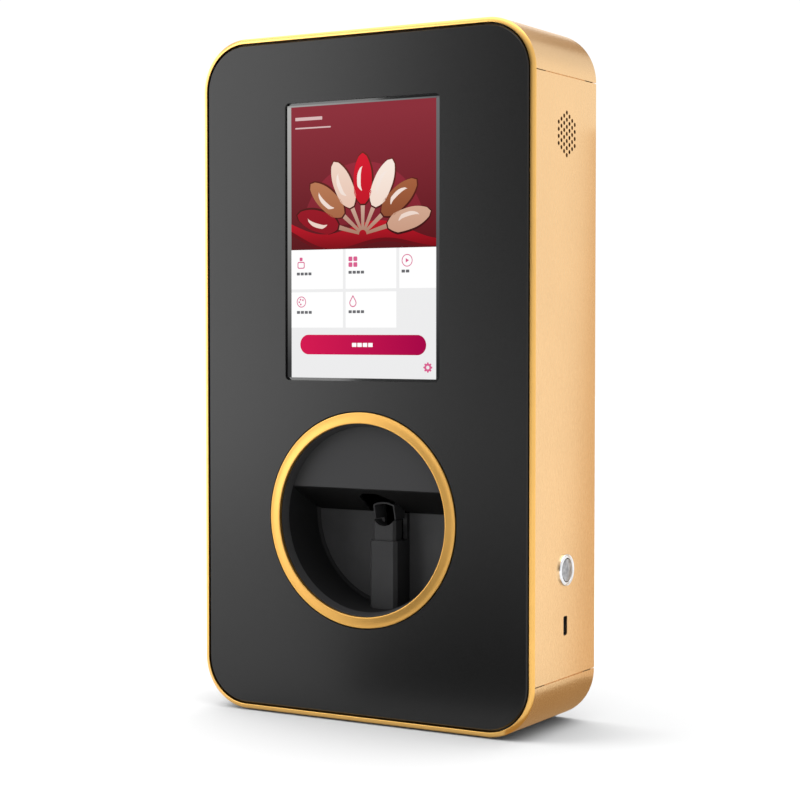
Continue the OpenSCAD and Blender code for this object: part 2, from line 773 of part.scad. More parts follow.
module stage_frame() {
    arm_x = [block_x[1], stage_rod_x + 7.5];
    bracket_x = [pulley_x - 8, block_x[0]];
    motor_half = belt_motor_size / 2;
    plate_y = [rod_y + 7, rod_y + 8.5];
    color("#7d8286") difference() {
        union() {
            both_sides() {
                block(block_x, block_y, block_z);
                block(arm_x, arm_y, [low_rod_z - 7, low_rod_z + 7]);
            }
            block([-block_x[1], block_x[1]], block_y, [block_z[1], block_z[1] + tie_t]);
            block([-arm_x[1], -arm_x[0] - 0.5], [arm_y[1] - nut_l, arm_y[1]],
                  [low_rod_z + 7, screw_z + 7]);
            block(bracket_x, plate_y, [belt_z - 7, belt_z + 7]);
            block([-block_x[0], motor_half - pulley_x], plate_y,
                  [belt_z - motor_half, belt_z + motor_half]);
        }
        both_sides() {
            rod_y(stage_rod_x, [arm_y[0] - 1, arm_y[1] + 1], low_rod_z, rod_r + running_fit);
            rod_x([block_x[0] - 1, block_x[0] + 4], rod_y, low_rod_z, rod_r);
            rod_x([block_x[0] - 1, block_x[0] + 4], rod_y, high_rod_z, upper_rod_r);
        }
        rod_y(-stage_rod_x, [arm_y[0], arm_y[1] + 1], screw_z, screw_r + running_fit);
        rod_y(pulley_x, [plate_y[0] - 1, plate_y[1] + 1], belt_z, idler_pin_r);
        rod_y(-pulley_x, [plate_y[0] - 1, plate_y[1] + 1], belt_z,
              belt_motor_size * boss_share + 0.1);
    }
}

module guide_rods() color(chrome) {
    x = [-block_x[0] - 4, block_x[0] + 4];
    rod_x(x, rod_y, low_rod_z, rod_r);
    rod_x(x, rod_y, high_rod_z, upper_rod_r);
}

module encoder_strip() color("#c9d3d6")
    block([-block_x[1], block_x[1]], [block_y[0] - 0.4, block_y[0]], [belt_z - 4, belt_z + 4]);

// Slot-shaped loop round both pulleys
module belt_loop(r) {
    square([2 * pulley_x, 2 * r], center = true);
    for (s = [-1, 1]) translate([s * pulley_x, 0]) circle(r);
}

module drive_belt() color(rubber) plate(belt_y) translate([0, belt_z]) difference() {
    belt_loop(pulley_r + belt_gap + belt_t);
    belt_loop(pulley_r + belt_gap);
}

module belt_motor() stepper(-pulley_x, belt_z, belt_motor_size, [rod_y + 8.5, rod_y + 36],
                            [rod_y + 7.2, rod_y + 36], shaft_r + running_fit);

// Flanged pulley on the belt's centre line, with the shaft or bore it turns on
module belt_pulley(x) {
    rod_y(x, belt_y, belt_z, pulley_r);
    for (y = [belt_y[0] - 0.9, belt_y[1] + 0.3])
        rod_y(x, [y, y + 0.6], belt_z, pulley_r + belt_t + 1);
    rod_y(x, [belt_y[0] - 0.9, belt_y[1] + 0.9], belt_z, pulley_r - 1);
}

module drive_pulley() color(chrome) {
    belt_pulley(-pulley_x);
    rod_y(-pulley_x, [belt_y[1], rod_y + 24], belt_z, shaft_r);
}

module idler_pulley() color(chrome) difference() {
    belt_pulley(pulley_x);
    rod_y(pulley_x, [belt_y[0] - 2, belt_y[1] + 2], belt_z, idler_pin_r + running_fit);
}

module idler_pin() color(steel) {
    rod_y(pulley_x, [belt_y[0] - 1.4, rod_y + 8.5], belt_z, idler_pin_r);
    rod_y(pulley_x, [belt_y[0] - 2, belt_y[0] - 1.1], belt_z, idler_pin_r + 1.2);
}

module ink_carriage() {
    half = carriage_w / 2;
    side_t = 1.7;
    front = [rod_y + 5.5, rod_y + 8];
    bearing_y = [rod_y - 5.5, rod_y + 5.5];
    floor_z = [cartridge_z[0] - 2.5, cartridge_z[0] - 0.4];
    depth = [front[0], cartridge_y[1]];
    clamp_z = belt_z - pulley_r - belt_gap - belt_t;
    color(black) translate([carriage_x, 0, 0]) difference() {
        union() {
            block([-half, half], bearing_y, [low_rod_z - 6.5, low_rod_z + 6.5]);
            block([-half, half], bearing_y, [high_rod_z - 6, high_rod_z + 6]);
            block([-half, half], front, [low_rod_z - 6.5, high_rod_z + 6]);
            block([-8, 8], [belt_y[0] - 2, front[1]], [low_rod_z + 6.5, clamp_z + 4]);
            block([-half, half], depth, floor_z);
            block([-half, half], [front[0], front[1]], [floor_z[0], low_rod_z]);
            for (s = [0, 1]) mirror([s, 0, 0]) {
                block([half - side_t, half], depth, [floor_z[0], cartridge_z[0] + 35]);
                block([half - side_t, half], [front[0], latch_pin_y + 3],
                      [cartridge_z[0], latch_pin_z + 2.6]);
            }
        }
        rod_x([-half - 1, half + 1], rod_y, low_rod_z, rod_r + running_fit);
        rod_x([-half - 1, half + 1], rod_y, high_rod_z, upper_rod_r + running_fit);
        rod_x([-half - 1, half + 1], latch_pin_y, latch_pin_z, latch_pin_r);
        block([-9, 9], [belt_y[0] - 0.4, belt_y[1] + 0.4], [clamp_z - 0.4, clamp_z + belt_t + 0.4]);
        block([-10, 10], [snout_y[0] - 1, snout_y[1] + 1], [floor_z[0] - 1, floor_z[1] + 1]);
    }
}

module ink_cartridge() color(deep_black) translate([carriage_x, 0, 0]) {
    body_half = 12;
    snout_half = 9;
    block([-body_half, body_half], cartridge_y, [cartridge_z[0] - 0.4, cartridge_z[1]]);
    block([-snout_half, snout_half], snout_y, [nozzle_z, cartridge_z[0]]);
}

module latch_pin() color(steel) translate([carriage_x, 0, 0])
    rod_x([-carriage_w / 2, carriage_w / 2], latch_pin_y, latch_pin_z, latch_pin_r);

// Lid over the cartridge, with a hook behind it
module cartridge_latch() {
    half = 11.8;
    lid_z = [cartridge_z[1] + 0.4, cartridge_z[1] + 2.2];
    hook_y = [cartridge_y[1] + 0.5, cartridge_y[1] + 2.3];
    color("#5b6066") translate([carriage_x, 0, 0]) difference() {
        union() {
            rod_x([-half, half], latch_pin_y, latch_pin_z, 2.2);
            block([-half, half], [latch_pin_y, hook_y[1]], lid_z);
            block([-6, 6], hook_y, [cartridge_z[1] - 8, lid_z[1]]);
        }
        rod_x([-half - 1, half + 1], latch_pin_y, latch_pin_z, latch_pin_r + running_fit);
    }
}

module cap_holder() color(cream) translate([carriage_x, 0, 0]) difference() {
    block([-12, 12], [port_back_y + 4.2, snout_y[1] + 2], [engine_z[0] + frame_t, nozzle_z - 3.5]);
    block([-8.2, 8.2], [snout_y[0] + 0.3, snout_y[1] - 0.3], [nozzle_z - 6, nozzle_z]);
}

module cap_pad() color(rubber) translate([carriage_x, 0, 0]) difference() {
    block([-8, 8], [snout_y[0] + 0.5, snout_y[1] - 0.5], [nozzle_z - 6, nozzle_z - 0.4]);
    block([-6, 6], [snout_y[0] + 2.5, snout_y[1] - 2.5], [nozzle_z - 2, nozzle_z]);
}

// ---- Electronics ----

module standoff_spots_main() for (s = [-1, 1])
    for (z = [main_board_z[0] + board_hole_in, main_board_z[1] - board_hole_in])
        translate([s * 52, 0, z]) children();

module standoff_spots_driver()
    for (x = [driver_x[0] + board_hole_in, driver_x[1] - board_hole_in])
        for (z = [driver_z[0] + board_hole_in, driver_z[1] - board_hole_in])
            translate([x, 0, z]) children();

// Board with square parts given as [x, z, width, height, thickness] on the side that dir points to
module board(x, y, z, dir, parts) {
    color(board_green) block(x, y, z);
    face = dir > 0 ? y[1] : y[0];
    for (p = parts) color(deep_black)
        block([p[0] - p[2] / 2, p[0] + p[2] / 2],
              dir > 0 ? [face, face + p[4]] : [face - p[4], face],
              [p[1] - p[3] / 2, p[1] + p[3] / 2]);
}

module main_board() difference() {
    z = main_board_z[0];
    board([-57, 57], board_y, main_board_z, 1, [
        [-12, z + 45, 18, 18, 1.4], [14, z + 52, 12, 9, 1.2], [14, z + 38, 12, 9, 1.2],
        [38, z + 60, 16, 12, 1.2], [-40, z + 66, 14, 10, 3], [-43, z + 22, 9, 26, 5],
        [40, z + 14, 20, 7, 5], [12, z + 14, 16, 6, 4]]);
    standoff_spots_main() rod_y(0, [board_y[0] - 1, board_y[1] + 1], 0, screw_hole_r);
}

module heat_sink() {
    x = -12;
    z = main_board_z[0] + 45;
    y = board_y[1] + 1.4;
    color(steel) {
        block([x - 15, x + 15], [y, y + 2], [z - 15, z + 15]);
        for (i = [-5 : 5]) block([x + i * 2.8 - 0.6, x + i * 2.8 + 0.6], [y + 1, y + 9],
                                 [z - 15, z + 15]);
    }
}

module driver_board() difference() {
    z = driver_z[0];
    board(driver_x, driver_y, driver_z, -1, [
        [-45, z + 46, 12, 12, 1.6], [-20, z + 46, 12, 12, 1.6], [6, z + 34, 16, 16, 2],
        [-52, z + 14, 22, 8, 6], [-16, z + 12, 26, 6, 5], [16, z + 14, 12, 12, 8],
        [-54, z + 60, 7, 12, 6], [14, z + 60, 14, 7, 5]]);
    standoff_spots_driver() rod_y(0, [driver_y[0] - 1, driver_y[1] + 1], 0, screw_hole_r);
}

// Hexagonal threaded spacer
module standoff(y) difference() {
    rod_y(0, y, 0, standoff_r, $fn = 6);
    rod_y(0, [y[0] - 1, y[1] + 1], 0, screw_hole_r);
}

module board_standoffs() color("#c9a45c") {
    standoff_spots_main() standoff([bracket_y, board_y[0]]);
    standoff_spots_driver() standoff([driver_y[1], cover_y]);
}

// Loom from the driver board, up beside the print engine, to the main board
module wire_loom() {
    r = 2.2;
    side_x = -(frame_x + frame_t + 8);
    color(deep_black) {
        rod_x([side_x, -58], 24, driver_z[1] - 10, r);
        rod_z(side_x, 24, [driver_z[1] - 10 - r, main_board_z[0] - 20], r);
        rod_y(side_x, [-24, 24 + r], main_board_z[0] - 20, r);
        rod_x([side_x - r, -52], -24, main_board_z[0] - 20, r);
        rod_z(-52, -24, [main_board_z[0] - 20 - r, main_board_z[0] + 10], r);
        block([-56, -48], [board_y[1], -21], [main_board_z[0] + 8, main_board_z[0] + 14]);
        block([-58, -50], [21, driver_y[0] - 6], [driver_z[1] - 15, driver_z[1] - 5]);
    }
}

module speaker() color(deep_black) translate([inner_x, fitting_y, speaker_z])
    rotate([0, -90, 0]) rotate_extrude() polygon([
        [17, 0], [20, 0], [20, 2], [17, 2], [12, 9], [12, 14], [0, 14], [0, 6], [6, 6], [15, 1.4]]);

// ---- Side fittings ----

module button_housing() {
    face_x = body_w / 2;
    bezel_t = 1.6;
    bevel = 1;
    color(chrome) translate([face_x, fitting_y, button_z]) rotate([0, 90, 0]) rotate_extrude()
        polygon([
            [plunger_r + 0.3, bezel_t], [bezel_d / 2 - bevel, bezel_t],
            [bezel_d / 2, bezel_t - bevel], [bezel_d / 2, 0], [thread_r, 0],
            [thread_r, -button_l], [0, -button_l], [0, -button_bore],
            [plunger_r + 0.3, -button_bore]]);
}

module button_nut() color(chrome) difference() {
    rod_x([inner_x - 3, inner_x], fitting_y, button_z, 12.5, $fn = 6);
    rod_x([inner_x - 4, inner_x + 1], fitting_y, button_z, thread_r);
}

// Domed cap that travels into the housing
module power_button() {
    face_x = body_w / 2;
    rise = 2.6;
    dome_r = (plunger_r * plunger_r + 1) / 2;
    color(chrome) translate([face_x, fitting_y, button_z]) rotate([0, 90, 0]) intersection() {
        translate([0, 0, -plunger_l]) cylinder(h = plunger_l + rise, r = plunger_r);
        translate([0, 0, rise - dome_r]) sphere(r = dome_r);
    }
}

module usb_socket() {
    depth = 16;
    recess = 0.6;
    x = [body_w / 2 - recess - depth, body_w / 2 - recess];
    color(chrome) {
        difference() {
            usb_slot(x, -0.1);
            usb_slot([x[0] + 2, x[1] + 1], -0.5);
        }
        block([x[0] + 1, x[1] - 1], [fitting_y + 0.2, fitting_y + 1.8], [usb_z - 5.4, usb_z + 5.4]);
    }
}

module usb_pegs(x) for (y = [-10, 10], z = [-13, 13])
    rod_x(x, fitting_y + y, usb_z + z, usb_peg_r);

module usb_board() {
    x = body_w / 2 - 16.6;
    color(board_green) difference() {
        block([x - board_t, x], [fitting_y - 14, fitting_y + 14], [usb_z - 17, usb_z + 17]);
        usb_pegs([x - 3, x + 1]);
    }
    color("#c9a45c") usb_pegs([x - board_t, inner_x]);
}

// ---- Rear ----

module dc_inlet() color(deep_black) {
    difference() {
        union() {
            block([inlet_x - 7, inlet_x + 7], [cover_y - 14, cover_y], [inlet_z - 7, inlet_z + 7]);
            rod_y(inlet_x, [cover_y - 1, back_y], inlet_z, inlet_nose_r);
        }
        rod_y(inlet_x, [back_y - 10, back_y + 1], inlet_z, inlet_bore_r);
    }
    rod_y(inlet_x, [back_y - 11, back_y - 1.5], inlet_z, 1);
}

// Lower and upper end of one of the hinge's five knuckles
function hinge_span(i) = [hatch_z + (i - 2.5) * knuckle_len + knuckle_gap,
                          hatch_z + (i - 1.5) * knuckle_len - knuckle_gap];

module vent_slots(z, rows) for (s = [-1, 1], i = [0 : rows - 1])
    translate([s * 50, z + i * 7]) rounded(64, 2.6, 1.2);

module rear_cover() {
    color(black) difference() {
        union() {
            plate([cover_y, back_y]) difference() {
                outline(wall + 0.3);
                translate([0, hatch_z])
                    rounded(hatch_w + 2 * hatch_gap, hatch_h + 2 * hatch_gap, 4.5);
            }
            plate([cover_y - rim_t, cover_y]) translate([0, hatch_z]) difference() {
                rounded(hatch_w + 12, hatch_h + 12, 8);
                rounded(hatch_w - 2 * hatch_rim, hatch_h - 2 * hatch_rim, 3);
            }
            for (i = [0 : 2 : 4]) {
                rod_z(hinge_x, hinge_y, hinge_span(i), knuckle_r);
                block([hinge_x - 8, hinge_x], [back_y, back_y + leaf_t], hinge_span(i));
            }
            for (s = [-1, 1], t = [-1, 1])
                rod_y(s * wall_mount / 2, [cover_y - 8, cover_y + 1],
                      wall_mount_z + t * wall_mount / 2, 4);
        }
        rod_z(hinge_x, hinge_y, [hatch_z - 60, hatch_z + 60], hinge_pin_r);
        for (s = [-1, 1], t = [-1, 1])
            rod_y(s * wall_mount / 2, [cover_y - 9, back_y + 1],
                  wall_mount_z + t * wall_mount / 2, wall_screw_r);
        for (z = magnet_z) rod_y(magnet_x, [cover_y - 3, cover_y + 1], z, magnet_r);
        edge_spots() rod_y(0, [cover_y - 1, back_y + 1], 0, screw_hole_r);
        rod_y(inlet_x, [cover_y - 1, back_y + 1], inlet_z, inlet_nose_r + 0.1);
        standoff_spots_driver() rod_y(0, [cover_y - 1, back_y + 1], 0, screw_hole_r);
        plate([cover_y - 1, back_y + 1]) {
            vent_slots(top_z - 60, 5);
            vent_slots(bottom_z + 22, 4);
        }
    }
}

module hatch_magnets() color(chrome) for (z = magnet_z)
    rod_y(magnet_x, [cover_y - rim_t, cover_y], z, magnet_r);

module hatch_pin() color(steel)
    rod_z(hinge_x, hinge_y, [hinge_span(0)[0] - 1, hinge_span(4)[1] + 1], hinge_pin_r);

module rear_hatch() {
    notch_r = 8;
    color(black) difference() {
        union() {
            difference() {
                plate([cover_y, back_y]) translate([0, hatch_z]) rounded(hatch_w, hatch_h, 4);
                rod_y(hatch_w / 2, [cover_y - 1, back_y + 1], hatch_z, notch_r);
            }
            for (i = [1, 3]) {
                rod_z(hinge_x, hinge_y, hinge_span(i), knuckle_r);
                block([hinge_x, hinge_x + 12], [back_y, back_y + leaf_t], hinge_span(i));
            }
        }
        rod_z(hinge_x, hinge_y, [hatch_z - 60, hatch_z + 60], hinge_pin_r + running_fit);
        plate([cover_y + cover_t - 0.5, back_y + 1]) for (i = [-3 : 3])
            translate([8, hatch_z + i * 7]) rounded(90, 2, 0.9);
    }
}

// ---- Fasteners ----

module shell_screws() color(steel) both_sides() for (y = [-seam_screw_y, seam_screw_y]) {
    for (end = [0, 1]) translate([0, 0, end * 2 * mid_z]) mirror([0, 0, end])
        translate([inner_x - seam_screw_in, y, seam_low_z - 2]) {
            translate([0, 0, -screw_head_t]) cylinder(h = screw_head_t, r = screw_head_r);
            cylinder(h = 6, r = screw_shank_r);
        }
}

module frame_screws() color(steel) {
    edge_spots() screw_y(0, chassis_y, 0, -1, 5);
    tube_screw_spots() screw_y(0, cut_y, 0, 1, 4.2);
    bracket_screw_spots() screw_y(0, bracket_y, 0, 1, 3.2);
    engine_screw_spots() screw_y(0, engine_y[0] + frame_t, 0, 1, 3.6);
    for (a = ear_angles) at_ear(a) screw_y(0, cut_y + 2, 0, 1, 3.4);
    for (z = post_screw_z) screw_y(0, port_back_y + tube_wall, z, 1, 6);
    standoff_spots_main() screw_y(0, board_y[1], 0, 1, board_t);
    standoff_spots_driver() screw_y(0, driver_y[0], 0, -1, board_t);
}

module rear_screws() color(deep_black) {
    edge_spots() screw_y(0, back_y, 0, 1, 4.5);
    standoff_spots_driver() screw_y(0, back_y, 0, 1, cover_t);
}

side_panel_left();
side_panel_right();
top_cap();
bottom_cap();
base_pad();
front_trim();
front_panel();
front_chassis();
touch_glass();
display_gasket();
lcd_panel();
display_bracket();
display_ribbon();
port_ring();
port_tube();
port_hood();
nail_chamber();
finger_post();
finger_guide();
finger_cradle();
cradle_spring();
nail_camera();
light_board();
engine_frame();
stage_rods();
stage_motor();
stage_frame();
stage_screw();
guide_rods();
encoder_strip();
drive_belt();
belt_motor();
drive_pulley();
idler_pulley();
idler_pin();
ink_carriage();
ink_cartridge();
cartridge_latch();
latch_pin();
cap_holder();
cap_pad();
main_board();
heat_sink();
driver_board();
board_standoffs();
wire_loom();
speaker();
button_housing();
button_nut();
power_button();
usb_socket();
usb_board();
dc_inlet();
rear_cover();
rear_hatch();
hatch_magnets();
hatch_pin();
shell_screws();
frame_screws();
rear_screws();
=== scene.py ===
"""Looks of a digital nail art printer, built round its packed construction model.

Every size and place is in millimetres in the printer's own frame: X to the right as seen from the
front, Y to the back, Z up, with the origin under the middle of the base pad. Bench.add turns them
into metres.
"""

from __future__ import annotations
from __future__ import annotations

import logging
import math
from collections.abc import Sequence
from dataclasses import dataclass
from enum import Enum
from functools import cache

import bmesh
import bpy
from mathutils import Matrix, Vector


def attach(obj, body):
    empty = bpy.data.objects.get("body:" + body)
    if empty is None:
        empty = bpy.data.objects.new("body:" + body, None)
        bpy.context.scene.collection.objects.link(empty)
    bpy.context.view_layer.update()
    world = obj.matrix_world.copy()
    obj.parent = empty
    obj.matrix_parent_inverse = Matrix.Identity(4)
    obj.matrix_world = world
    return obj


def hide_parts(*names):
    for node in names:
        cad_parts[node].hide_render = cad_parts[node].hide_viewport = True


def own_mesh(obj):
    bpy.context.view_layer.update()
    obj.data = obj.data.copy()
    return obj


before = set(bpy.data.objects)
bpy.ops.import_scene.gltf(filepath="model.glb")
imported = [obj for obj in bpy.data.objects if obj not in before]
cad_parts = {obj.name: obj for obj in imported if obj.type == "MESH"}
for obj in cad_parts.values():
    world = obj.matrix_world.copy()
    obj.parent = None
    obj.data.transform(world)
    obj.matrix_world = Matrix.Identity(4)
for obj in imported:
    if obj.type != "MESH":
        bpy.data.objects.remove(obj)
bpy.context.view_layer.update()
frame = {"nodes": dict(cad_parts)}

MM = 0.001
LOG = logging.getLogger("nail_printer")

Point2 = tuple[float, float]
Point3 = tuple[float, float, float]
Span = tuple[float, float]
Colour = tuple[float, float, float]
Loops = list[list[Point2]]
Socket = bpy.types.NodeSocket

UNIT: Span = (0.0, 1.0)


def srgb(code: str) -> Colour:
    """Turns a display colour into scene light.

    Args:
        code: Colour as six hexadecimal digits.

    Returns:
        The same colour as linear red, green and blue.
    """
    parts = [int(code[i : i + 2], 16) / 255 for i in (0, 2, 4)]
    return tuple(p / 12.92 if p <= 0.04045 else ((p + 0.055) / 1.055) ** 2.4 for p in parts)


def grey(level: float) -> Colour:
    """Neutral colour of one brightness."""
    return (level, level, level)


def stand(name: str, data: bpy.types.ID) -> bpy.types.Object:
    """Puts a new object into the scene.

    Args:
        name: Name of the object.
        data: Its mesh, camera or light.

    Returns:
        The object.
    """
    made = bpy.data.objects.new(name, data)
    bpy.context.scene.collection.objects.link(made)
    return made


class Axis(Enum):
    """An axis of the printer's frame, with the plane that a profile is turned or drawn in."""

    X = Vector((1, 0, 0))
    Y = Vector((0, 1, 0))
    Z = Vector((0, 0, 1))

    @property
    def across(self) -> tuple[Vector, Vector]:
        """Finds the plane square to the axis.

        Returns:
            The plane's two directions, in right-handed order.
        """
        return {
            Axis.X: (Axis.Y.value, Axis.Z.value),
            Axis.Y: (Axis.Z.value, Axis.X.value),
            Axis.Z: (Axis.X.value, Axis.Y.value),
        }[self]


class Lay(Enum):
    """How a finish's grain is drawn out: the scale of its pattern along X, Y and Z."""

    EVEN = (1.0, 1.0, 1.0)
    ALONG_Y = (1.0, 0.03, 1.0)
    ALONG_Z = (1.0, 1.0, 0.03)


# ---- Finishes ----


class Nodes:
    """A node tree in the making."""

    # Numbers of a Mix node's share, low colour and high colour, and of its mixed colour.
    MIX_INPUTS = (0, 6, 7)
    MIX_OUTPUT = 2

    def __init__(self, tree: bpy.types.NodeTree, family: str = "ShaderNode") -> None:
        """Takes up a tree.

        Args:
            tree: Tree that the nodes go into.
            family: What the types of its nodes start with.
        """
        self.tree = tree
        self.family = family

    def node(
        self, kind: str, inputs: dict[str | int, object], **settings: object
    ) -> bpy.types.Node:
        """Adds one node.

        Args:
            kind: Node type, without the family's part.
            inputs: Constants or output sockets, by the input's name or number.
            **settings: Properties of the node itself.

        Returns:
            The new node.
        """
        made = self.tree.nodes.new(self.family + kind)
        for key, value in settings.items():
            setattr(made, key, value)
        self.feed(made, inputs)
        return made

    def feed(self, target: bpy.types.Node, inputs: dict[str | int, object]) -> None:
        """Sets or links a node's inputs.

        Args:
            target: Node whose inputs are set.
            inputs: Constants or output sockets, by the input's name or number.
        """
        for key, value in inputs.items():
            socket = target.inputs[key]
            if isinstance(value, Socket):
                self.tree.links.new(value, socket)
            elif socket.type == "RGBA":
                socket.default_value = (*value, 1.0)
            else:
                socket.default_value = value

    def between(
        self, value: Socket, given: Span, wanted: Span = UNIT, curve: str = "LINEAR"
    ) -> Socket:
        """Maps one range of numbers onto another.

        Args:
            value: Number to map.
            given: Its low and high end.
            wanted: What they become.
            curve: How the number runs from end to end.

        Returns:
            The mapped number.
        """
        ends = dict(zip(("From Min", "From Max", "To Min", "To Max"), given + wanted))
        return self.node("MapRange", {"Value": value} | ends, interpolation_type=curve).outputs[0]

    def ramp(
        self, share: Socket, marks: Sequence[tuple[float, Colour]], curve: str = "LINEAR"
    ) -> Socket:
        """Turns a number into a colour.

        Args:
            share: Number from 0 to 1.
            marks: Place and colour of each mark on the scale, from low to high.
            curve: How the colour runs from mark to mark.

        Returns:
            The colour.
        """
        made = self.node("ValToRGB", {"Fac": share})
        made.color_ramp.interpolation = curve
        stops = made.color_ramp.elements
        while len(stops) < len(marks):
            stops.new(0.5)
        for stop, (place, colour) in zip(stops, marks):
            stop.position = place
            stop.color = (*colour, 1.0)
        return made.outputs[0]

    def blend(self, share: Socket, low: Colour, high: Colour) -> Socket:
        """Mixes two fixed colours by a share from 0 to 1."""
        return self.ramp(share, ((0.0, low), (1.0, high)))

    def mix(self, share: Socket, low: Socket, high: Socket | Colour) -> Socket:
        """Mixes a changing colour with another one by a share from 0 to 1."""
        inputs = dict(zip(self.MIX_INPUTS, (share, low, high)))
        return self.node("Mix", inputs, data_type="RGBA").outputs[self.MIX_OUTPUT]


class Shader(Nodes):
    """One node material round a Principled surface."""

    def __init__(self, name: str) -> None:
        """Makes the empty material.

        Args:
            name: Name of the material.
        """
        self.material = bpy.data.materials.new(name)
        self.material.use_nodes = True
        super().__init__(self.material.node_tree)
        self.surface = self.tree.nodes["Principled BSDF"]

    def places(self) -> Socket:
        """Position on the piece, in metres."""
        return self.node("TexCoord", {}).outputs["Object"]

    def along(self, axis: Axis, span: Span) -> Socket:
        """Measures how far a place lies along an axis.

        Args:
            axis: Axis to measure along.
            span: Where the measure starts and ends, in millimetres.

        Returns:
            Number that goes from 0 at the start to 1 at the end.
        """
        place = self.node("SeparateXYZ", {"Vector": self.places()}).outputs[axis.name]
        return self.between(place, (span[0] * MM, span[1] * MM))

    def noise(self, width: float, lay: Lay, detail: float = 3.0) -> Socket:
        """Adds a cloud of grains.

        Args:
            width: Width of one grain, in millimetres.
            lay: Direction in which the grains are drawn out.
            detail: Octaves of finer grain.

        Returns:
            Output that wanders about 0.5.
        """
        spread = self.node("Mapping", {"Vector": self.places(), "Scale": lay.value})
        inputs = {"Vector": spread.outputs[0], "Scale": 1 / (width * MM), "Detail": detail}
        return self.node("TexNoise", inputs).outputs[0]

    def dent(self, height: Socket, depth: float) -> None:
        """Gives the surface a fine relief.

        Args:
            height: Pattern of the relief, from 0 to 1.
            depth: Height of the relief, in millimetres.
        """
        bump = self.node("Bump", {"Height": height, "Strength": 1.0, "Distance": depth * MM})
        self.feed(self.surface, {"Normal": bump.outputs[0]})


@dataclass(frozen=True)
class Surface:
    """What a piece is covered with.

    Attributes:
        name: Name of the material.
    """

    name: str

    @cache
    def material(self) -> bpy.types.Material:
        """Makes the surface's material on first use.

        Returns:
            The material, the same one each time.
        """
        shader = Shader(self.name)
        self._paint(shader)
        return shader.material

    def _paint(self, shader: Shader) -> None:
        """Fills in the material, in each kind of surface in its own way."""
        raise NotImplementedError


@dataclass(frozen=True)
class Finish(Surface):
    """A solid finish with a grain of its own.

    Attributes:
        colour: Mean colour.
        roughness: Mean roughness.
        metallic: 1 on bare metal and 0 elsewhere.
        grain: Width of one grain, in millimetres.
        relief: Height of the grain, in millimetres.
        lay: Direction in which the grain is drawn out.
        mottle: Share by which the tone wanders.
        patch: Width of one patch of tone, in millimetres.
        coat: Weight of a clear coat.
        gloss: Strength of the bare surface's own reflection, 0.5 on most plastics.
        wander: Share by which the roughness changes from grain to grain.
        coat_roughness: Roughness of the clear coat.
        grain_range: Range of the noise that most grains lie in.
        patch_range: Range of the noise that most patches lie in.
    """

    colour: Colour
    roughness: float
    metallic: float = 0.0
    grain: float = 0.3
    relief: float = 0.004
    lay: Lay = Lay.EVEN
    mottle: float = 0.08
    patch: float = 9.0
    coat: float = 0.0
    gloss: float = 0.5
    wander: float = 0.12
    coat_roughness: float = 0.08
    grain_range: Span = (0.3, 0.7)
    patch_range: Span = (0.35, 0.65)

    def _paint(self, shader: Shader) -> None:
        """Fills in the material.

        Args:
            shader: Material in the making.
        """
        grain = shader.noise(self.grain, self.lay)
        shader.dent(grain, self.relief)
        spread = (self.roughness * (1 - self.wander), self.roughness * (1 + self.wander))
        inputs = {
            "Base Color": self._tone(shader),
            "Roughness": shader.between(grain, self.grain_range, spread),
            "Metallic": self.metallic,
            "Specular IOR Level": self.gloss,
            "Coat Weight": self.coat,
            "Coat Roughness": self.coat_roughness,
        }
        shader.feed(shader.surface, inputs)

    def _tone(self, shader: Shader) -> Socket:
        """Makes the finish's colour, which wanders a little.

        Args:
            shader: Material in the making.

        Returns:
            Colour output.
        """
        patches = shader.between(shader.noise(self.patch, Lay.EVEN, 2.0), self.patch_range)
        low = tuple(c * (1 - self.mottle) for c in self.colour)
        high = tuple(min(1.0, c * (1 + self.mottle)) for c in self.colour)
        return shader.blend(patches, low, high)


@dataclass(frozen=True)
class Metal(Finish):
    """Bare metal with a finer grain."""

    metallic: float = 1.0
    grain: float = 0.2
    relief: float = 0.002


@dataclass(frozen=True)
class CircuitMask(Finish):
    """Solder mask over copper tracks.

    Attributes:
        track: Width of one cell of the tracks, in millimetres.
        track_edge: Distance in a cell at which its track starts and is full.
        lift: How many times lighter the mask is over a track.
    """

    track: float = 2.4
    track_edge: Span = (0.42, 0.5)
    lift: float = 2.1

    def _tone(self, shader: Shader) -> Socket:
        """Makes a green mask that is lighter over the tracks.

        Args:
            shader: Material in the making.

        Returns:
            Colour output.
        """
        inputs = {"Vector": shader.places(), "Scale": 1 / (self.track * MM)}
        cells = shader.node("TexVoronoi", inputs, feature="F1", distance="MANHATTAN")
        wave = shader.between(cells.outputs["Distance"], self.track_edge)
        return shader.blend(wave, self.colour, tuple(c * self.lift for c in self.colour))


@dataclass(frozen=True)
class HoodBlack(Finish):
    """Moulded black with painted shade: its colour turns darker behind its front face.

    Attributes:
        painted_shade: Colour of the painted shade behind the face.
        face_end: Where the face's colour gives way to the painted shade, in millimetres along Y.
    """

    painted_shade: Colour = (0.006, 0.006, 0.006)
    face_end: Span = (-39.8, -37.5)

    def _tone(self, shader: Shader) -> Socket:
        """Makes the face's colour in front, and the painted shade behind it.

        Args:
            shader: Material in the making.

        Returns:
            Colour output.
        """
        return shader.blend(shader.along(Axis.Y, self.face_end), self.colour, self.painted_shade)


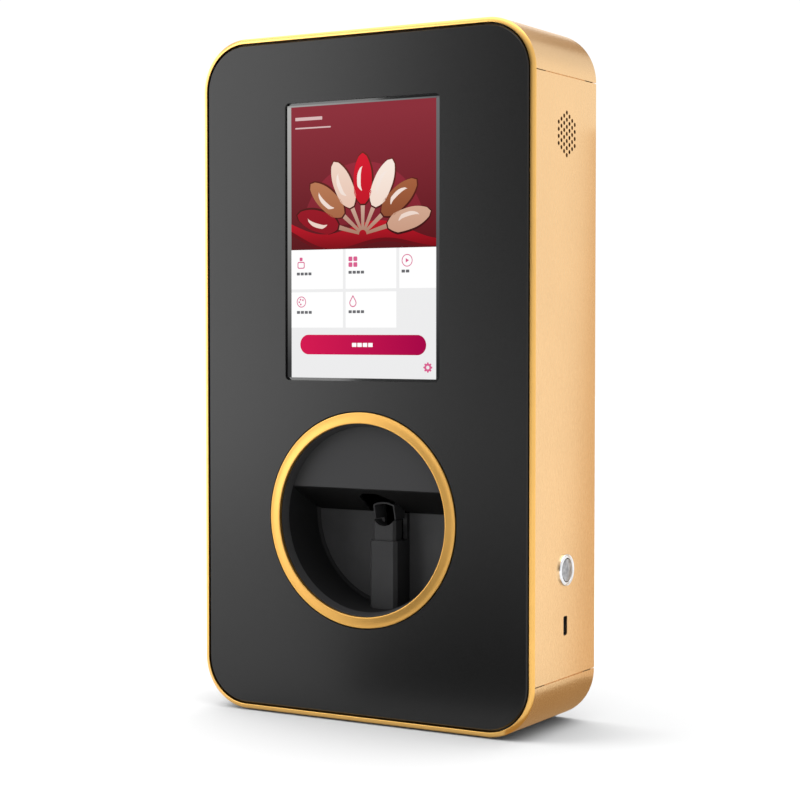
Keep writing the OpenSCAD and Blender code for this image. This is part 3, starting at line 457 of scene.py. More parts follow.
@dataclass(frozen=True)
class ScreenInk(Surface):
    """A patch of the lit picture, behind the screen's glossy glass.

    Attributes:
        low: Colour at the start of its shading, as six hexadecimal digits.
        high: Colour at the end.
        axis: Axis that the shading runs along.
        span: Where the shading starts and ends on that axis, in millimetres.
        glow: Brightness of the backlight.
        gloss: Strength of the glass's reflection.
        roughness: Roughness of the glass.
    """

    low: str
    high: str
    axis: Axis = Axis.Z
    span: Span = (240.0, 430.0)
    glow: float = 1.0
    gloss: float = 0.015
    roughness: float = 0.2

    def _paint(self, shader: Shader) -> None:
        """Fills in the material.

        Args:
            shader: Material in the making.
        """
        colour = srgb(self.low)
        if self.high != self.low:
            share = shader.along(self.axis, self.span)
            colour = shader.blend(share, colour, srgb(self.high))
        inputs = {
            "Base Color": grey(0.002),
            "Roughness": self.roughness,
            "Specular IOR Level": self.gloss,
            "Emission Color": colour,
            "Emission Strength": self.glow,
        }
        shader.feed(shader.surface, inputs)


WRAP_GOLD = Metal(
    "wrap_gold",
    (0.90, 0.585, 0.285),
    0.27,
    grain=0.25,
    relief=0.0001,
    lay=Lay.ALONG_Z,
    mottle=0.015,
    patch=60.0,
    wander=0.04,
)
TRIM_GOLD = Metal(
    "trim_gold", (0.93, 0.54, 0.155), 0.3, relief=0.0004, mottle=0.02, patch=30.0
)
RING_GOLD = Metal("ring_gold", (0.77, 0.43, 0.11), 0.4, relief=0.0006, mottle=0.02, patch=30.0)
CHROME = Metal(
    "chrome", (0.86, 0.87, 0.89), 0.09, grain=0.4, relief=0.0003, mottle=0.02, patch=6.0
)
BUTTON_STEEL = Metal("button_steel", (0.38, 0.38, 0.39), 0.3, mottle=0.3, patch=3.0)
GROUND_STEEL = Metal(
    "ground_steel", (0.62, 0.63, 0.65), 0.28, grain=0.15, relief=0.001, mottle=0.05
)
SHEET_STEEL = Metal(
    "sheet_steel", (0.55, 0.56, 0.58), 0.38, lay=Lay.ALONG_Z, mottle=0.12, patch=12.0
)
CAST_GREY = Metal("cast_grey", (0.42, 0.43, 0.45), 0.5, grain=0.5, relief=0.01)
BLACK_OXIDE = Metal("black_oxide", (0.05, 0.05, 0.055), 0.4, mottle=0.15, patch=3.0)
BRASS = Metal(
    "brass", (0.65, 0.45, 0.19), 0.3, grain=0.15, relief=0.001, lay=Lay.ALONG_Y, patch=4.0
)
PANEL_BLACK = Finish(
    "panel_black",
    (0.002, 0.002, 0.0021),
    0.29,
    grain=0.18,
    relief=0.0012,
    mottle=0.04,
    patch=40.0,
    gloss=0.45,
)
# Painted shade: the port's black plastic made darker, for the tube walls that lie in shade.
TUBE_PAINTED_SHADE = Finish("tube_black_painted_shade", srgb("1c1c1d"), 0.6, mottle=0.05, patch=14.0, gloss=0.18)
PORT_BLACK = Finish("port_black", srgb("3a3a3b"), 0.55, mottle=0.05, patch=14.0, gloss=0.22)
# Painted shade: the hood's colour goes near black behind its face, on the underside that lies in
# shade.
HOOD_BLACK = HoodBlack("hood_black_painted_shade", srgb("3b3b3c"), 0.55, gloss=0.22)
# Painted light: the same black plastic made lighter, for the back wall where the light falls.
BACK_PAINTED_LIGHT = Finish("back_black_painted_light", srgb("4a4a4b"), 0.6, mottle=0.05, patch=14.0, gloss=0.3)
LIP_GREY = Finish(
    "lip_grey", srgb("343435"), 0.45, relief=0.003, mottle=0.05, patch=14.0, gloss=0.4
)
CHAMBER_BLACK = Finish("chamber_black", srgb("040404"), 0.8, mottle=0.05, gloss=0.1)
GLASS_BLACK = Finish(
    "glass_black", srgb("08080a"), 0.06, grain=2.0, relief=0.0002, mottle=0.02, patch=40.0, coat=1.0
)
POWDER_BLACK = Finish(
    "powder_black", srgb("232325"), 0.55, grain=0.45, relief=0.012, mottle=0.06, patch=18.0
)
MOTOR_BLACK = Finish("motor_black", srgb("1c1c1e"), 0.5, relief=0.005)
RUBBER = Finish("rubber", srgb("1a1a1a"), 0.85, grain=0.5, relief=0.02, mottle=0.1)
CREAM = Finish("cream_plastic", srgb("d8d2c0"), 0.5, grain=0.4, relief=0.005)
WHITE_MASK = Finish("white_mask", srgb("e4e3da"), 0.4, grain=0.4, relief=0.003)
POLYIMIDE = Finish(
    "polyimide", srgb("b8671f"), 0.35, grain=1.2, lay=Lay.ALONG_Z, mottle=0.12, patch=5.0, coat=0.3
)
CLEAR_FILM = Finish(
    "clear_film",
    srgb("b9c2c4"),
    0.18,
    grain=0.12,
    relief=0.001,
    lay=Lay.ALONG_Z,
    mottle=0.1,
    patch=1.0,
    coat=0.5,
)
ENGINE_PLASTIC = Finish("engine_plastic", srgb("26272a"), 0.48, grain=0.35, relief=0.006)
LATCH_PLASTIC = Finish("latch_plastic", srgb("4c5258"), 0.48, grain=0.35, relief=0.006)
CARTRIDGE = Finish("cartridge_plastic", srgb("171719"), 0.35, grain=0.4)
DISPLAY_BACK = Finish("display_back", srgb("8f9296"), 0.35, grain=0.6, relief=0.003)
CHIP = Finish("chip_plastic", srgb("141416"), 0.45, grain=0.2, relief=0.003)
CIRCUIT = CircuitMask("circuit_mask", srgb("14492a"), 0.35, relief=0.002)


# ---- Workshop ----


def arc(centre: Point2, radius: float, start: float, end: float, steps: int) -> list[Point2]:
    """Points along an arc.

    Args:
        centre: Its centre.
        radius: Its radius.
        start: First angle, in degrees.
        end: Last angle, in degrees.
        steps: Stretches between the points.

    Returns:
        The points from start to end.
    """
    angles = [math.radians(start + (end - start) * i / steps) for i in range(steps + 1)]
    return [(centre[0] + radius * math.cos(a), centre[1] + radius * math.sin(a)) for a in angles]


def rounded(x: Span, z: Span, radius: float, steps: int = 8) -> list[Point2]:
    """Rectangle with round corners.

    Args:
        x: Left and right side.
        z: Lower and upper side.
        radius: Radius of the corners.
        steps: Stretches in each corner.

    Returns:
        Its outline, anticlockwise.
    """
    middle_x, middle_z = sum(x) / 2, sum(z) / 2
    corners = [(x[1], z[1], 0), (x[0], z[1], 90), (x[0], z[0], 180), (x[1], z[0], 270)]
    points = []
    for cx, cz, start in corners:
        hub = (
            cx - math.copysign(radius, cx - middle_x),
            cz - math.copysign(radius, cz - middle_z),
        )
        points += arc(hub, radius, start, start + 90, steps)
    return points


class Draft:
    """A mesh in the making, in millimetres."""

    # Points nearer than WELD become one, and edges shorter than SPECK are dropped.
    WELD = 1e-4
    SPECK = 1e-5

    def __init__(self) -> None:
        """Starts empty."""
        self.bm = bmesh.new()

    def skin(self, rings: list[list[Point3]], closed: bool) -> Draft:
        """Lays a skin over rings of equally many points.

        Args:
            rings: Closed rings, in order.
            closed: Whether the last ring joins the first. If not, both ends are capped.

        Returns:
            This draft.
        """
        rows = [[self.bm.verts.new(p) for p in ring] for ring in rings]
        count = len(rings[0])
        pairs = list(zip(rows, rows[1:] + rows[:1])) if closed else list(zip(rows, rows[1:]))
        for low, high in pairs:
            for i in range(count):
                j = (i + 1) % count
                self.bm.faces.new((low[i], low[j], high[j], high[i]))
        if not closed:
            self.bm.faces.new(reversed(rows[0]))
            self.bm.faces.new(rows[-1])
        return self

    def turn(self, profile: list[Point2], axis: Axis, centre: Point3, steps: int = 96) -> Draft:
        """Turns a closed profile about an axis.

        Args:
            profile: Radius and place along the axis of each corner.
            axis: Axis that it is turned about.
            centre: Point that the places are counted from.
            steps: Stretches round the turn.

        Returns:
            This draft.
        """
        side, up = axis.across
        origin = Vector(centre)
        rings = []
        for k in range(steps):
            angle = 2 * math.pi * k / steps
            out = side * math.cos(angle) + up * math.sin(angle)
            rings.append([origin + out * r + axis.value * a for r, a in profile])
        return self.skin(rings, True)

    def tube(self, path: list[Point3], radius: float, sides: int = 12) -> Draft:
        """Runs a round tube along a path.

        Args:
            path: Points of its centre line.
            radius: Radius of the tube.
            sides: Sides of its section.

        Returns:
            This draft.
        """
        points = [Vector(p) for p in path]
        angles = [2 * math.pi * k / sides for k in range(sides)]
        rings = []
        normal = (points[1] - points[0]).normalized().orthogonal().normalized()
        for before, point, after in zip(points[:1] + points, points, points[1:] + points[-1:]):
            heading = (after - before).normalized()
            normal = (normal - heading * normal.dot(heading)).normalized()
            other = heading.cross(normal)
            rings.append(
                [point + (normal * math.cos(a) + other * math.sin(a)) * radius for a in angles]
            )
        return self.skin(rings, False)

    def box(self, x: Span, y: Span, z: Span) -> Draft:
        """Adds a box.

        Args:
            x: Its left and right side.
            y: Its front and back.
            z: Its lower and upper side.

        Returns:
            This draft.
        """
        low = [(x[i], y[j], z[0]) for i, j in ((0, 0), (1, 0), (1, 1), (0, 1))]
        return self.skin([low, [(p[0], p[1], z[1]) for p in low]], False)

    def slab(self, loops: Loops, y: Span) -> Draft:
        """Adds a flat plate that is drawn in the X-Z plane.

        Args:
            loops: Its outline and any holes.
            y: Its front and back.

        Returns:
            This draft.
        """
        curve = bpy.data.curves.new("slab", "CURVE")
        curve.dimensions = "2D"
        curve.fill_mode = "BOTH"
        curve.extrude = (y[1] - y[0]) / 2
        for loop in loops:
            spline = curve.splines.new("POLY")
            spline.points.add(len(loop) - 1)
            for point, (px, pz) in zip(spline.points, loop):
                point.co = (px, pz, 0.0, 1.0)
            spline.use_cyclic_u = True
        holder = bpy.data.objects.new("slab", curve)
        mesh = bpy.data.meshes.new_from_object(holder)
        upright = Matrix.Rotation(math.pi / 2, 4, "X")
        mesh.transform(Matrix.Translation((0, (y[0] + y[1]) / 2, 0)) @ upright)
        self.bm.from_mesh(mesh)
        bpy.data.meshes.remove(mesh)
        bpy.data.objects.remove(holder)
        bpy.data.curves.remove(curve)
        return self

    def close(self) -> bmesh.types.BMesh:
        """Welds the mesh and turns its faces outwards.

        Returns:
            The mesh, still in millimetres.
        """
        bmesh.ops.remove_doubles(self.bm, verts=self.bm.verts, dist=self.WELD)
        bmesh.ops.dissolve_degenerate(self.bm, edges=self.bm.edges, dist=self.SPECK)
        bmesh.ops.recalc_face_normals(self.bm, faces=self.bm.faces)
        return self.bm


class Bench:
    """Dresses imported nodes, finishes drafts and keeps the log."""

    # Angles over which edges stay sharp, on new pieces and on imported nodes, or are broken.
    SHARP = math.radians(32)
    SMOOTH = math.radians(30)
    BROKEN = math.radians(35)
    # Angle up to which faces count as one, and distance in metres up to which points do.
    FLAT = math.radians(0.5)
    WELD = 2e-6

    def __init__(self) -> None:
        """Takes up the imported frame."""
        self.nodes = frame["nodes"]
        self.shading = self._shade_by_angle()

    def dress(self, names: str, finish: Finish, edge: float = 0.0) -> None:
        """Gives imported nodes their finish, and breaks their sharp edges.

        Args:
            names: Nodes, separated by spaces.
            finish: Finish that they take.
            edge: Width of the broken edges, in millimetres.
        """
        for name in names.split():
            piece = self.nodes[name]
            for slot in piece.material_slots:
                slot.material = finish.material()
            if edge:
                self._break_edges(piece, edge)
            LOG.info("%s: %s", name, finish.name)

    def add(
        self,
        draft: Draft,
        name: str,
        finish: Surface,
        slot: str,
        body: str = "housing",
        replaces: str = "",
        edge: float = 0.0,
    ) -> bpy.types.Object:
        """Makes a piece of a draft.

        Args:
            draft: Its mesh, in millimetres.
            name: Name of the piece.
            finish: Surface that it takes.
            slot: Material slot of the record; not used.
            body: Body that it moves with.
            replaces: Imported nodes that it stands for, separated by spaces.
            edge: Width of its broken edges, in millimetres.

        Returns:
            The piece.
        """
        made = draft.close()
        bmesh.ops.scale(made, vec=(MM, MM, MM), verts=made.verts)
        mesh = bpy.data.meshes.new(name)
        made.to_mesh(mesh)
        made.free()
        mesh.polygons.foreach_set("use_smooth", [True] * len(mesh.polygons))
        mesh.set_sharp_from_angle(angle=self.SHARP)
        mesh.materials.append(finish.material())
        piece = stand(name, mesh)
        if edge:
            self._bevel(piece, edge)
        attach(piece, body)
        if replaces:
            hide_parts(*replaces.split())
        LOG.info("%s: %d faces", name, len(mesh.polygons))
        return piece

    def _bevel(self, piece: bpy.types.Object, edge: float) -> bpy.types.Modifier:
        """Adds the bevel that breaks a piece's edges.

        Args:
            piece: Piece that takes the bevel.
            edge: Width of the broken edges, in millimetres.

        Returns:
            The bevel.
        """
        bevel = piece.modifiers.new("broken_edges", "BEVEL")
        bevel.width = edge * MM
        bevel.segments = 2
        bevel.limit_method = "ANGLE"
        bevel.angle_limit = self.BROKEN
        bevel.harden_normals = True
        return bevel

    def _break_edges(self, piece: bpy.types.Object, edge: float) -> None:
        """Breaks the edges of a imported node, whose mesh itself stays as it is.

        Args:
            piece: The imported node.
            edge: Width of the broken edges, in millimetres.
        """
        weld = piece.modifiers.new("weld", "WELD")
        weld.merge_threshold = self.WELD
        flat = piece.modifiers.new("flats", "DECIMATE")
        flat.decimate_type = "DISSOLVE"
        flat.angle_limit = self.FLAT
        self._bevel(piece, edge).harden_normals = False
        shade = piece.modifiers.new("shading", "NODES")
        shade.node_group = self.shading
        weighted = piece.modifiers.new("weighted", "WEIGHTED_NORMAL")
        weighted.keep_sharp = True

    def _shade_by_angle(self) -> bpy.types.NodeTree:
        """Makes a modifier that shades smooth, apart from the sharp edges.

        Returns:
            The modifier's node group.
        """
        group = bpy.data.node_groups.new("shade_by_angle", "GeometryNodeTree")
        for way in ("INPUT", "OUTPUT"):
            group.interface.new_socket("Geometry", in_out=way, socket_type="NodeSocketGeometry")
        kit = Nodes(group, "")
        start = kit.node("NodeGroupInput", {}).outputs[0]
        angle = kit.node("GeometryNodeInputMeshEdgeAngle", {}).outputs[0]
        wide = kit.node("FunctionNodeCompare", {0: angle, 1: self.SMOOTH}).outputs[0]
        inputs = {0: start, "Name": "custom_normal"}
        bare = kit.node("GeometryNodeRemoveAttribute", inputs).outputs[0]
        smooth = kit.node("GeometryNodeSetShadeSmooth", {0: bare}).outputs[0]
        inputs = {0: smooth, "Selection": wide, "Shade Smooth": False}
        crisp = kit.node("GeometryNodeSetShadeSmooth", inputs, domain="EDGE").outputs[0]
        kit.node("NodeGroupOutput", {0: crisp})
        return group


# ---- Studio ----


@dataclass
class Studio:
    """Camera, sky, floor, cards and soft lights.

    The sky's brightness follows three scales: back_light is for straight behind the printer,
    high_light gives the share of it from the horizon at 0 to overhead at 1, and front_light is
    for the sky in front, from left at -1 to right at 1. The edges say where the front sky turns
    into the one behind, by its direction along Y, and into the one above, along Z. The paper's
    tones are for the camera, for reflections and for the light that the floor throws back.
    """

    eye: Point3 = (707.153, -1185.839, 274.839)
    turn_deg: float = 30.702
    dip_deg: float = 2.107
    lens: float = 87.22
    film: float = 36.0
    back_light: float = 1.04
    high_light: tuple[Point2, ...] = ((0.0, 1.0), (0.16, 1.0), (0.42, 0.8), (0.8, 0.9))
    front_light: tuple[Point2, ...] = (
        (-1.0, 1.1),
        (-0.8, 1.0),
        (-0.55, 0.23),
        (-0.4, 0.05),
        (0.2, 0.08),
        (0.6, 0.7),
        (1.0, 1.0),
    )
    behind_edge: Span = (-0.25, 0.15)
    above_edge: Span = (0.4, 0.75)
    sky_gain: float = 2.0
    floor_half: float = 6000.0
    paper_seen: float = 0.81
    paper_bounce: float = 0.78
    paper_spill: float = 0.5
    cards: tuple[tuple[str, Colour, tuple[Point3, ...]], ...] = (
        (
            "foot_card",
            (0.40, 0.29, 0.17),
            ((112, -60, 2), (186, -60, 2), (186, 150, 2), (112, 150, 2)),
        ),
        (
            "front_card",
            (0.12, 0.12, 0.12),
            ((-60, -130, 2), (170, -130, 2), (-400, -1250, 2), (-760, -1250, 2)),
        ),
        (
            "side_card",
            (0.76, 0.60, 0.44),
            ((142, 110, 10), (186, 110, 10), (168, 110, 420), (142, 110, 420)),
        ),
        (
            "high_card",
            (0.26, 0.15, 0.06),
            ((-640, 2600, 1250), (330, 2600, 1250), (330, 2600, 2000), (-640, 2600, 2000)),
        ),
    )
    boxes: tuple[tuple[str, Point3, Point3, Point2, float], ...] = (
        ("left_box", (-700, -640, 620), (-80, -46, 260), (640, 1240), 5.5),
        ("rim_box", (-1400, 180, 420), (-134, -40, 240), (900, 1500), 5.0),
    )
    sun_power: float = 1.68
    sun_width_deg: float = 80.0
    sun_tilt_deg: float = -12.0

    def build(self) -> None:
        """Sets up the whole studio."""
        self._camera()
        self._sky()
        self._floor()
        for name, tone, corners in self.cards:
            self._card(name, tone, corners)
        for box in self.boxes:
            self._area(*box)
        self._sun()
        bpy.context.scene.view_settings.view_transform = "Standard"
        bpy.context.scene.cycles.caustics_reflective = False
        LOG.info("studio ready")

    def _camera(self) -> None:
        """Stands the camera where the photograph was taken from."""
        data = bpy.data.cameras.new("camera")
        data.lens = self.lens
        data.sensor_width = self.film
        camera = stand("camera", data)
        camera.location = Vector(self.eye) * MM
        turn, dip = math.radians(self.turn_deg), math.radians(self.dip_deg)
        camera.rotation_euler = (math.pi / 2 - dip, 0, turn)
        bpy.context.scene.camera = camera

    def _sky(self) -> None:
        """Makes a sky that is bright behind the printer and high up, and dim straight in front."""
        world = bpy.data.worlds.new("studio")
        world.use_nodes = True
        bpy.context.scene.world = world
        sky = Nodes(world.node_tree)
        around = sky.node("TexCoord", {}).outputs["Generated"]
        heading = sky.node("SeparateXYZ", {"Vector": around}).outputs
        across = sky.between(heading["X"], (-1.0, 1.0))
        marks = [((x + 1) / 2, grey(level / self.sky_gain)) for x, level in self.front_light]
        front = sky.ramp(across, marks, "EASE")
        full = self.back_light / self.sky_gain
        marks = [(z, grey(full * share)) for z, share in self.high_light]
        back = sky.ramp(heading["Z"], marks, "EASE")
        behind = sky.between(heading["Y"], self.behind_edge, curve="SMOOTHSTEP")
        above = sky.between(heading["Z"], self.above_edge, curve="SMOOTHSTEP")
        share = sky.node("Math", {0: behind, 1: above}, operation="MAXIMUM").outputs[0]
        light = sky.mix(share, front, back)
        seen = sky.node("LightPath", {}).outputs["Is Camera Ray"]
        colour = sky.mix(seen, light, grey(full))
        backdrop = world.node_tree.nodes["Background"]
        sky.feed(backdrop, {"Color": colour, "Strength": self.sky_gain})

    def _floor(self) -> None:
        """Lays a pale floor, whose tone differs for the camera, reflections and thrown light."""
        paper = Shader("studio_paper")
        path = paper.node("LightPath", {}).outputs
        direct = paper.blend(
            path["Is Camera Ray"], grey(self.paper_bounce), grey(self.paper_seen)
        )
        tone = paper.mix(path["Is Diffuse Ray"], direct, grey(self.paper_spill))
        inputs = {"Base Color": tone, "Roughness": 1.0, "Specular IOR Level": 0.0}
        paper.feed(paper.surface, inputs)
        half = self.floor_half
        corners = ((-half, -half, 0), (half, -half, 0), (half, half, 0), (-half, half, 0))
        floor = self._sheet("floor", corners, paper)

    def _card(self, name: str, tone: Colour, corners: tuple[Point3, ...]) -> None:
        """Stands a card that only shows in the printer's glossy faces.

        Args:
            name: Name of the card.
            tone: Its own light.
            corners: Its four corners, in millimetres.
        """
        card = Shader(name)
        inputs = {"Base Color": grey(0.0), "Specular IOR Level": 0.0}
        card.feed(card.surface, inputs | {"Emission Color": tone, "Emission Strength": 1.0})
        piece = self._sheet(name, corners, card)
        piece.visible_camera = False
        piece.visible_diffuse = False
        piece.visible_shadow = False

    def _sheet(
        self, name: str, corners: tuple[Point3, ...], shader: Shader
    ) -> bpy.types.Object:
        """Makes one flat sheet.

        Args:
            name: Name of the sheet.
            corners: Its corners, in millimetres.
            shader: Its material.

        Returns:
            The sheet.
        """
        bm = bmesh.new()
        bm.faces.new([bm.verts.new(Vector(corner) * MM) for corner in corners])
        mesh = bpy.data.meshes.new(name)
        bm.to_mesh(mesh)
        bm.free()
        mesh.materials.append(shader.material)
        return stand(name, mesh)

    def _sun(self) -> None:
        """Hangs the wide soft light overhead."""
        data = bpy.data.lights.new("overhead", "SUN")
        data.energy = self.sun_power
        data.angle = math.radians(self.sun_width_deg)
        stand("overhead", data).rotation_euler = (math.radians(self.sun_tilt_deg), 0, 0)

    def _area(
        self, name: str, place: Point3, target: Point3, size: Point2, power: float
    ) -> None:
        """Stands one upright soft light.

        Args:
            name: Name of the light.
            place: Where it stands.
            target: Where it points.
            size: Its width and height.
            power: Its power in watts.
        """
        data = bpy.data.lights.new(name, "AREA")
        data.shape = "RECTANGLE"
        data.size, data.size_y = size[0] * MM, size[1] * MM
        data.energy = power
        lamp = stand(name, data)
        lamp.location = Vector(place) * MM
        aim = Vector(target) - Vector(place)
        lamp.rotation_euler = aim.to_track_quat("-Z", "Y").to_euler()


# ---- Sub-assemblies ----


Dressing = tuple[tuple[str, Finish, float], ...]


@dataclass
class Assembly:
    """A sub-assembly of the printer.

    Attributes:
        bench: Bench that its pieces are made on.
        dressing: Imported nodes, their finish and the width of their broken edges.
    """

    bench: Bench
    dressing: Dressing = ()

    def build(self) -> None:
        """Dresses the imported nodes, then adds the pieces of its own."""
        for names, finish, edge in self.dressing:
            self.bench.dress(names, finish, edge)
        self._add_pieces()

    def _add_pieces(self) -> None:
        """Adds the pieces that only the looks have, which are none in most sub-assemblies."""


@dataclass
class Housing(Assembly):
    """Gold wrap, its slanted and rounded trim, and the rubber pad under it."""

    dressing: Dressing = (
        ("side_panel_left side_panel_right", WRAP_GOLD, 0.5),
        ("top_cap", WRAP_GOLD, 0.3),
        ("bottom_cap", WRAP_GOLD, 0.9),
        ("base_pad", RUBBER, 0.3),
        ("shell_screws frame_screws rear_screws", BLACK_OXIDE, 0.0),
    )
    half_width: float = 134.0
    height: Span = (1.0, 481.0)
    corner_radius: float = 36.0
    corner_steps: int = 32
    front: float = -46.0
    trim_width: float = 3.8
    trim_rise: float = 2.2
    trim_back: float = -43.0
    wrap_lip: float = 2.7
    inner_round: float = 0.5
    slant: float = 1.5

    def _add_pieces(self) -> None:
        """Sweeps the trim round the front."""
        section = self._section()
        centre = sum(self.height) / 2
        half = (self.half_width, self.height[1] - centre)
        r = self.corner_radius
        rings = []
        for k, (sx, sz) in enumerate(((1, 1), (-1, 1), (-1, -1), (1, -1))):
            hub = (sx * (half[0] - r), centre + sz * (half[1] - r))
            for i in range(self.corner_steps + 1):
                a = math.radians(90 * (k + i / self.corner_steps))
                out = (math.cos(a), math.sin(a))
                rings.append(
                    [(hub[0] + out[0] * (r - d), y, hub[1] + out[1] * (r - d)) for d, y in section]
                )
        self.bench.add(
            Draft().skin(rings, True), "trim_bezel", TRIM_GOLD, "gold_trim", replaces="front_trim"
        )

    def _section(self) -> list[Point2]:
        """Draws the trim's section.

        Returns:
            How far in from the outline each corner lies, and its place along Y.
        """
        crest = self.trim_width - self.inner_round
        power = self.slant
        outer = [
            (crest * (1 - abs(c) ** power), self.front - self.trim_rise * max(0.0, h) ** power)
            for c, h in arc((0.0, 0.0), 1.0, 180, 90, 16)
        ]
        inner = [
            (crest + self.inner_round * c, self.front - self.trim_rise * h)
            for c, h in arc((0.0, 0.0), 1.0, 90, 0, 5)
        ]
        return [
            *outer,
            *inner[1:],
            (self.trim_width, self.trim_back),
            (self.wrap_lip, self.trim_back),
            (self.wrap_lip, self.front),
        ]


@dataclass
class FrontPanel(Assembly):
    """Black front panel with the display stack behind it."""

    dressing: Dressing = (
        ("front_panel", PANEL_BLACK, 0.25),
        ("touch_glass", GLASS_BLACK, 0.0),
        ("front_chassis", BLACK_OXIDE, 0.0),
        ("display_bracket", SHEET_STEEL, 0.0),
        ("display_gasket", RUBBER, 0.0),
        ("lcd_panel", DISPLAY_BACK, 0.0),
        ("display_ribbon", POLYIMIDE, 0.0),
    )


# Line icons drawn about zero, in millimetres.
BOTTLE: list[Loops] = [
    [rounded((-3, 3), (-3.6, 1.2), 1.2), rounded((-2.3, 2.3), (-2.9, 0.5), 0.8)],
    [rounded((-1.2, 1.2), (1.7, 4.2), 0.5)],
]
SWATCHES: list[Loops] = [
    [rounded((i - 3.6, i - 0.4), (j - 3.6, j - 0.4), 0.7)] for i in (0, 4) for j in (0, 4)
]
PLAY: list[Loops] = [
    [arc((0.8, 0), radius, 0, 345, 23) for radius in (4.3, 3.7)],
    [[(-0.3, -1.5), (2.3, 0), (-0.3, 1.5)]],
]
PALETTE: list[Loops] = [
    [arc((0.2, 0), radius, 0, 345, 23) for radius in (3.9, 3.3)],
    *[
        [arc((0.2 + 1.8 * math.cos(a), 1.8 * math.sin(a)), 0.65, 0, 330, 11)]
        for a in (0.8, 2.0, 3.2, 4.4)
    ],
]
DROP: list[Loops] = [
    [[*arc((0, -1.2), r, 150, 390, 16), (0, tip)] for r, tip in ((2.9, 4.4), (2.2, 3.1))]
]
TEETH = [
    arc((0, 0), 3.5, a - 9, a + 9, 2) + arc((0, 0), 2.7, a + 15, a + 30, 2)
    for a in range(0, 360, 45)
]
GEAR: list[Loops] = [[sum(TEETH, []), arc((0, 0), 1.3, 0, 330, 11)]]


def moved(shapes: list[Loops], x: float, z: float) -> list[Loops]:
    """Moves shapes that are drawn about zero to their place on the screen.

    Args:
        shapes: Each an outline with any holes.
        x: Their place from left to right.
        z: Their height.

    Returns:
        The moved shapes.
    """
    return [[[(px + x, pz + z) for px, pz in loop] for loop in loops] for loops in shapes]


